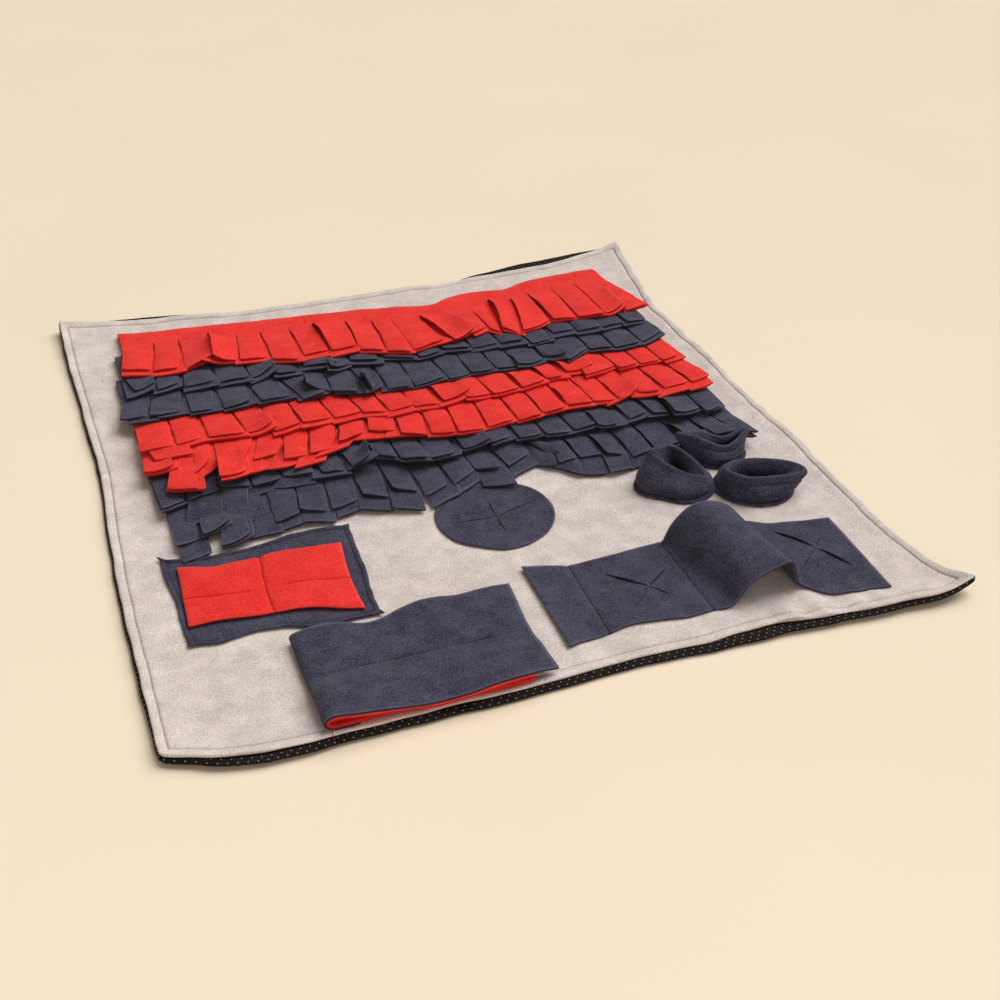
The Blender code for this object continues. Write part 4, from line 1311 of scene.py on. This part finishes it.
def folded_pocket():
    """The pocket, its lining, its seam, the seam's unravelled end and one loose thread."""
    roll_layer("roll_pocket", 0.0, ROLL_T, NAVY, "navy_fleece", -33.5)
    roll_layer("roll_lining", ROLL_T + GAP, LINING_T, RED, "red_fleece", -56.0)
    line = []
    for x in evenly(-232.0, -76.0, 80):
        back_y, front_y = curve(ROLL_TOP, "back_y", x), curve(ROLL_TOP, "front_y", x)
        line.append((x, ROLL_SEAM_Y, MAT_TOP + roll_top(x, ROLL_SEAM_Y, back_y, front_y) - 0.55))
    stitches("roll_stitches", [line], 3.0, NAVY_THREAD, "navy_fleece")
    top = MAT_TOP + 9.8
    star = [
        [(-77, -338, top), (-63, -337, top + 0.4)],
        [(-70, -344, top), (-69, -331, top + 0.2)],
        [(-75, -343, top), (-65, -333, top + 0.3)],
        [(-66, -343, top), (-74, -334, top + 0.3)],
    ]
    for index, points in enumerate(star, start=1):
        strand(f"seam_end_thread_{index}", points, 0.3, DULL_THREAD, "red_fleece")
    tail = [(-230, -402, 13.0), (-231, -406, 12.4), (-232, -409, 9.0), (-231, -411, 6.0)]
    strand("lining_thread", tail, 0.6, RED_THREAD, "red_fleece")


# ---- the arched strip ----

TUNNEL_T = 1.6
Section = namedtuple("Section", "step x_back y_back z_back x_front y_front z_front")
TUNNEL = rows(
    Section,
    (0, -11.5, -242, 2.2, -13.4, -366.5, 2.2), (1, -4, -243, 1.2, -6, -364, 1.4),
    (2, 8, -245, 0.6, 7, -360.5, 0.6), (3, 30, -251, 0.3, 27, -358.5, 0.3),
    (4, 54, -252, 0.8, 50, -354.6, 0.8), (5, 80, -251, 1.2, 76, -357, 0.9),
    (6, 104, -248, 0.8, 104, -360.5, 0.7), (7, 127, -245.5, 0.4, 128, -359, 0.6),
    (8, 132, -244, 4.5, 139, -361, 1.2), (9, 137, -244, 15.0, 147, -361, 3.6),
    (10, 144, -244, 24.0, 154, -360, 13.5), (11, 155, -244, 33.0, 163, -359, 23.0),
    (12, 168, -244, 36.0, 178, -358, 28.5), (13, 184, -244, 32.5, 192, -357, 32.5),
    (14, 197, -244, 25.0, 204, -356, 32.5), (15, 207, -244, 14.5, 209.5, -356, 21.0),
    (16, 214, -243, 4.0, 213.5, -355, 6.6), (17, 222, -243, 0.8, 222, -359, 1.0),
    (18, 238, -252, 0.5, 235, -372, 1.0), (19, 258, -257, 0.8, 259, -378, 1.2),
    (20, 278, -260, 0.6, 276, -379, 0.8), (21, 297, -263.5, 1.2, 293, -383, 1.8),
)
TUNNEL_SEAMS = (3, 7)
TUNNEL_WIDTH = 118
TUNNEL_SLITS = rows(
    Slit,
    ((57.0, -276.5), (87.5, -308.5), 2.6, 1.3, 1.0),
    ((87.5, -308.5), (102.0, -328.0), 0.9, 0.9, 0.5),
    ((112.0, -288.5), (87.5, -308.5), 1.9, 1.1, 1.0),
    ((87.5, -308.5), (64.0, -333.0), 0.8, 0.6, 0.5),
    ((233.5, -264.0), (259.0, -305.5), 2.8, 1.4, 1.0),
    ((259.0, -305.5), (278.0, -343.0), 2.4, 1.3, 1.0),
    ((272.5, -291.5), (259.0, -305.5), 0.9, 0.9, 0.4),
    ((259.0, -305.5), (231.0, -330.0), 0.9, 0.9, 0.5),
)


def tunnel_point(index, v):
    read = {field: curve(TUNNEL, field, index) for field in Section._fields[1:]}
    x = mix(read["x_back"], read["x_front"], v**1.1)
    y = mix(read["y_back"], read["y_front"], v)
    z = mix(read["z_back"], read["z_front"], v**1.15)
    if z > 5:  # the arch sags a little in the middle of its width
        z *= mix(1.0, 1.0 / (1 + 0.08 * hill(v)), 0.5)
    return Vector((x, y, MAT_TOP + z + TUNNEL_T))


def tunnel_strip():
    last = len(TUNNEL) - 1

    def place(index, v, _):
        point = tunnel_point(index, v)
        rows_in = min(v, 1 - v) * TUNNEL_WIDTH
        inset = min(rows_in, min(index, last - index) * 10)
        z = point.z + 0.4 * wander(point.x, point.y, 20.0, 12.0)
        for seam in TUNNEL_SEAMS:
            z -= 0.9 * bell((index - seam) * 16, 2.6)
        if point.z < MAT_TOP + 9:
            z += ground(point.x, point.y) - MAT_TOP + 0.6 * bell(inset - 3, 4)
        y = point.y + 0.8 * wander(point.x, v * 40, 22.0, 14.0) * clamp(1 - rows_in / 8)
        return point.x, y, z

    lines = evenly(0, last, 126)
    for seam in TUNNEL_SEAMS:
        lines = [line for line in lines if abs(line - seam) > 0.12]
        lines += [seam + offset for offset in (-0.09, -0.045, 0.0, 0.045, 0.09)]
    mesh = grid(sorted(lines), evenly(0, 1, 40))
    shade = mesh.verts.layers.float.new("shade")
    for vert in mesh.verts:
        vert[shade] = max(
            0.8 * bell((vert.co.x - seam) * 18 + offset, 1.0)
            for seam, offset in zip(TUNNEL_SEAMS, (-0.8, 0.0))
        )
    lay_out(mesh, place, lambda index, v, _: (index * 17.0, v * TUNNEL_WIDTH))
    for row in TUNNEL_SLITS:
        slit(mesh, *row)
    mark_cut_edges(mesh)
    bmesh.ops.reverse_faces(mesh, faces=mesh.faces)
    piece = finished(
        "tunnel_strip", mesh, NAVY, "navy_fleece", ["tunnel_strip"], TUNNEL_T, even=False
    )
    lines = [
        [Vector(place(seam, v, 0)) + Vector((0, 0, 0.15)) for v in evenly(0.02, 0.98, 60)]
        for seam in TUNNEL_SEAMS
    ]
    flecks = ((87.0, -308.0), (258.6, -305.0), (133.0, -298.0))
    for number, (x, y) in enumerate(flecks, start=5):
        z = ground(x, y) + TUNNEL_T + 1.5
        points = [(x - 0.7, y, z), (x + 0.2, y + 0.3, z + 0.4), (x + 0.9, y - 0.2, z)]
        strand(f"loose_thread_{number}", points, 0.8, PALE_THREAD, "grey_fleece")
    stitches("left_seam_stitches", lines[:1], 3.0, PALE_THREAD, "navy_fleece", 2.2, 0.45)
    stitches("right_seam_stitches", lines[1:], 3.0, NAVY_THREAD, "navy_fleece", 2.2, 0.45)


# ---- the cups ----

Lip = namedtuple("Lip", "angle foot x y z")
Crease = namedtuple("Crease", "angle wide share tall depth")
Deep = namedtuple("Deep", "x y z wide narrow turn")
Cup = namedtuple("Cup", "x y flat lips bulge deep creases")
CUPS = (
    Cup(
        181.5, -158.5, (0.235, 0.040),
        rows(
            Lip,
            (0, 40, 30, -6, 19), (45, 36, 23, 18, 24), (90, 34, 7, 26, 33.6),
            (135, 36, -16, 20, 38), (180, 38.5, -25, 12, 37), (225, 31, -13, -5, 29),
            (270, 36, 4, -17, 22), (315, 39, 26, -21, 17),
        ),
        0.24, Deep(8, 9, 4, 3.5, 13, -12),
        rows(
            Crease,
            (-70, 50, 0.16, 0.07, 1.0), (-20, 40, 0.62, 0.12, 0.8), (200, 40, 0.5, 0.16, 0.8),
        ),
    ),
    Cup(
        243.5, -111.5, (0.215, 0.034),
        rows(
            Lip,
            (0, 34, 41, -8, 25), (45, 32, 37, 0, 22), (90, 30, 17, 2, 16), (135, 28, -8, 6, 24),
            (180, 24, -40, 2, 30), (225, 30, -24, -16, 30), (270, 35, 2, -26, 20),
            (315, 36, 22, -22, 21),
        ),
        0.34, Deep(12, -8, 4, 14, 4, 10),
        rows(
            Crease,
            (-80, 60, 0.25, 0.08, 1.4), (-40, 60, 0.5, 0.1, 1.3), (-90, 100, 0.76, 0.08, 1.3),
        ),
    ),
    Cup(
        256.5, -188.0, (0.245, 0.037),
        rows(
            Lip,
            (0, 37, 43.8, -13, 25.5), (45, 36, 29, 4, 25), (90, 36, -1, 14, 27),
            (135, 40, -24, 12, 28.6), (180, 40, -37, 0, 28.5), (225, 36, -22, -21, 27.5),
            (270, 35.5, 6, -26.5, 26), (315, 37, 39.5, -27, 25),
        ),
        0.34, Deep(-4, -3, 4, 22, 5, -10),
        rows(
            Crease,
            (-90, 150, 0.76, 0.09, 1.6), (-50, 34, 0.50, 0.1, 1.5), (-90, 60, 0.3, 0.08, 1.3),
            (-120, 90, 0.14, 0.06, 1.2), (165, 62, 0.45, 0.48, 6.0),
        ),
    ),
)
ROLLED = 3.0  # radius of the rolled rim
ROLL_END = math.pi * 0.86
# The stitched foot from under the cup outwards, up and back to the wall: out and up.
FOOT_BEAD = (
    (-7.0, 0.2), (-1.0, 0.2), (2.6, 0.3), (3.6, 1.0),
    (3.4, 2.2), (2.2, 3.0), (0.4, 3.3), (-0.7, 3.1),
)
FOOT_TOP = 3.4
WALL_INSET = 2.2  # of the wall's start and the stitches from the foot's outline
CUP_SIDES = 96
WALL_RINGS = 26
RIM_RINGS = 10
LINING_RINGS = 18


def lip(cup, field, angle):
    """One of a cup's columns read smoothly all the way round."""
    first, last = cup.lips[:2], cup.lips[-2:]
    table = [item._replace(angle=item.angle - 360) for item in last]
    table += list(cup.lips)
    table += [item._replace(angle=item.angle + 360) for item in first]
    return curve(table, field, angle % 360)


def cup_frame(cup, angle):
    """Foot, rim and the directions out of the cup at both, in plan."""

    def foot(turn):
        reach = lip(cup, "foot", turn)
        return Vector((math.cos(math.radians(turn)), math.sin(math.radians(turn)))) * reach

    def rim(turn):
        return Vector((lip(cup, "x", turn), lip(cup, "y", turn)))

    def outward(line):
        along = line(angle + 4) - line(angle - 4)
        return Vector((along.y, -along.x)).normalized()

    return foot(angle), rim(angle), outward(foot), outward(rim)


def cup_place(cup, seed, angle, ring):
    """A point of the cup: foot flange, wall, rolled rim, then down the inside."""
    foot, rim, foot_out, rim_out = cup_frame(cup, angle)
    height = lip(cup, "z", angle)
    spot = Vector((cup.x, cup.y))
    low = ground(*(spot + foot)) + GAP
    bead = len(FOOT_BEAD)
    turn = math.radians(angle)
    fine = wander(math.cos(turn) * 30, math.sin(turn) * 30 + ring, 7.0, seed)
    soft = wander(math.cos(turn) * 30, math.sin(turn) * 30 + ring * 1.5, 16.0, seed + 3)
    if ring < bead:
        out, z = FOOT_BEAD[ring]
        plan = foot + foot_out * (out - 1.6 + 0.7 * fine * (ring > 1))
        return (*(spot + plan), low + z)
    start = foot - foot_out * WALL_INSET
    inward = (start - rim).dot(rim_out)
    lean = min(1.0, max(-0.5, math.atan2(inward, height - FOOT_TOP) * 1.1))
    rolled = rim - rim_out * ROLLED * (1 - math.cos(lean))
    rolled_z = height - ROLLED * (1 - math.sin(lean))
    if ring < bead + WALL_RINGS:
        share = (ring - bead + 1) / WALL_RINGS
        reach = math.hypot((start - rolled).length, rolled_z - FOOT_TOP)
        a, b, ta, tb = hermite(share)
        plan = start * a + rolled * b + foot_out * (ta * reach * cup.bulge * 3)
        plan -= rim_out * (tb * reach * math.sin(lean))
        z = FOOT_TOP * a + rolled_z * b + ta * reach * 0.9 + tb * reach * math.cos(lean)
        push = (0.7 * fine + 1.1 * soft) * hill(share)
        for crease in cup.creases:
            off = (angle - crease.angle + 180) % 360 - 180
            push -= crease.depth * bell(off, crease.wide) * bell(share - crease.share, crease.tall)
        plan += foot_out.lerp(rim_out, share) * push
        return (*(spot + plan), low + z)
    if ring < bead + WALL_RINGS + RIM_RINGS:
        share = (ring - bead - WALL_RINGS + 1) / RIM_RINGS
        roll = mix(lean, ROLL_END, share)
        plan = rim - rim_out * ROLLED * (1 - math.cos(roll))
        return (*(spot + plan), low + height - ROLLED * (1 - math.sin(roll)))
    share = (ring - bead - WALL_RINGS - RIM_RINGS + 1) / LINING_RINGS
    deep = cup.deep
    ellipse = Vector((math.cos(turn) * deep.wide, math.sin(turn) * deep.narrow))
    bottom = Vector((deep.x, deep.y)) + Matrix.Rotation(math.radians(deep.turn), 2) @ ellipse
    end = rim - rim_out * ROLLED * (1 - math.cos(ROLL_END))
    end_z = height - ROLLED * (1 - math.sin(ROLL_END))
    plan = end.lerp(bottom, share**0.9) + rim_out * (1.2 * soft + 0.6 * fine) * (1 - share)
    return (*(spot + plan), low + mix(end_z, deep.z, share**1.25))


def make_cup(number, cup):
    rings = len(FOOT_BEAD) + WALL_RINGS + RIM_RINGS + LINING_RINGS
    mesh = bmesh.new()
    bmesh.ops.create_circle(mesh, cap_ends=True, segments=CUP_SIDES, radius=1.0)
    drawn = bmesh.ops.extrude_face_region(mesh, geom=mesh.faces[:])["geom"]
    lid = next(item for item in drawn if isinstance(item, bmesh.types.BMFace))
    bmesh.ops.translate(mesh, vec=(0.0, 0.0, 1.0), verts=lid.verts)
    for _ in range(rings - 2):
        lid = bmesh.ops.extrude_discrete_faces(mesh, faces=[lid])["faces"][0]
        bmesh.ops.translate(mesh, vec=(0.0, 0.0, 1.0), verts=lid.verts)
    shade = mesh.verts.layers.float.new("shade")
    turns, spots = {}, {}
    for vert in mesh.verts:
        ring = round(vert.co.z)
        vert[shade] = 0.8 * ease((ring - rings + LINING_RINGS * 0.85) / (LINING_RINGS * 0.7))
        angle = math.degrees(math.atan2(vert.co.y, vert.co.x))
        turns[vert] = (angle * 0.0006, ring * 0.0015)
        spots[vert] = cup_place(cup, number * 7.3, angle, ring)
    settle(mesh, spots, turns.get)
    piece = finished(f"cup_{number}", mesh, NAVY, "navy_fleece", [f"cup_{number}"])
    line = []
    for angle in evenly(0, 360, 80):
        foot, _, foot_out, _ = cup_frame(cup, angle)
        spot = Vector((cup.x, cup.y)) + foot - foot_out * WALL_INSET
        line.append((*spot, ground(*spot) + GAP + FOOT_TOP - 0.1))
    stitches(f"cup_{number}_stitches", [line], 3.4, NAVY_THREAD, "navy_fleece", 2.4, 0.4)


# ---- floor, light and camera ----


def floor():
    mesh = bmesh.new()
    bmesh.ops.create_grid(mesh, x_segments=4, y_segments=4, size=6.0)
    data = bpy.data.meshes.new("floor")
    mesh.to_mesh(data)
    mesh.free()
    data.materials.append(floor_finish())
    add_object("floor", data)


def light(name, kind, place, power, colour, **settings):
    """A light that points at the middle of the mat."""
    data = bpy.data.lights.new(name, kind)
    data.energy = power
    data.color = colour
    for setting, value in settings.items():
        setattr(data, setting, value)
    lamp = add_object(name, data)
    lamp.location = place
    lamp.rotation_euler = Vector(place).to_track_quat("Z", "Y").to_euler()


def lights():
    key_colour, fill_colour = (0.97, 0.985, 1.0), (1.0, 0.94, 0.88)
    light("key", "SUN", (2.0, 0.9, 2.7), 2.95, key_colour, angle=math.radians(56.0))
    light("fill", "AREA", (-0.4, -2.6, 1.2), 17.0, fill_colour, shape="DISK", size=2.2)
    world = bpy.data.worlds.new("studio")
    world.use_nodes = True
    sky = world.node_tree.nodes["Background"]
    sky.inputs["Color"].default_value = (1.0, 0.86, 0.74, 1)
    sky.inputs["Strength"].default_value = 0.24
    bpy.context.scene.world = world


def camera():
    data = bpy.data.cameras.new("camera")
    data.lens = 54.94
    data.sensor_width = 36.0
    data.clip_end = 20.0
    view = add_object("camera", data)
    view.location = (-0.4115, -1.3115, 0.8270)
    view.rotation_euler = (math.radians(56.854), 0.0, math.radians(-19.526))
    bpy.context.scene.camera = view


chance = random.Random(11)
floor()
mat_sheet("base_backing", "backing", False, BACKING, "grip_backing")
mat_sheet("base_fleece", "fleece", True, GREY, "grey_fleece")
mat_stitches()
for row in range(len(FRINGE)):
    fringe_row(row, chance)
disc()
patch()
patch_pocket()
folded_pocket()
tunnel_strip()
for number, cup in enumerate(CUPS, start=1):
    make_cup(number, cup)
lights()
camera()
bpy.context.scene.view_settings.view_transform = "Standard"
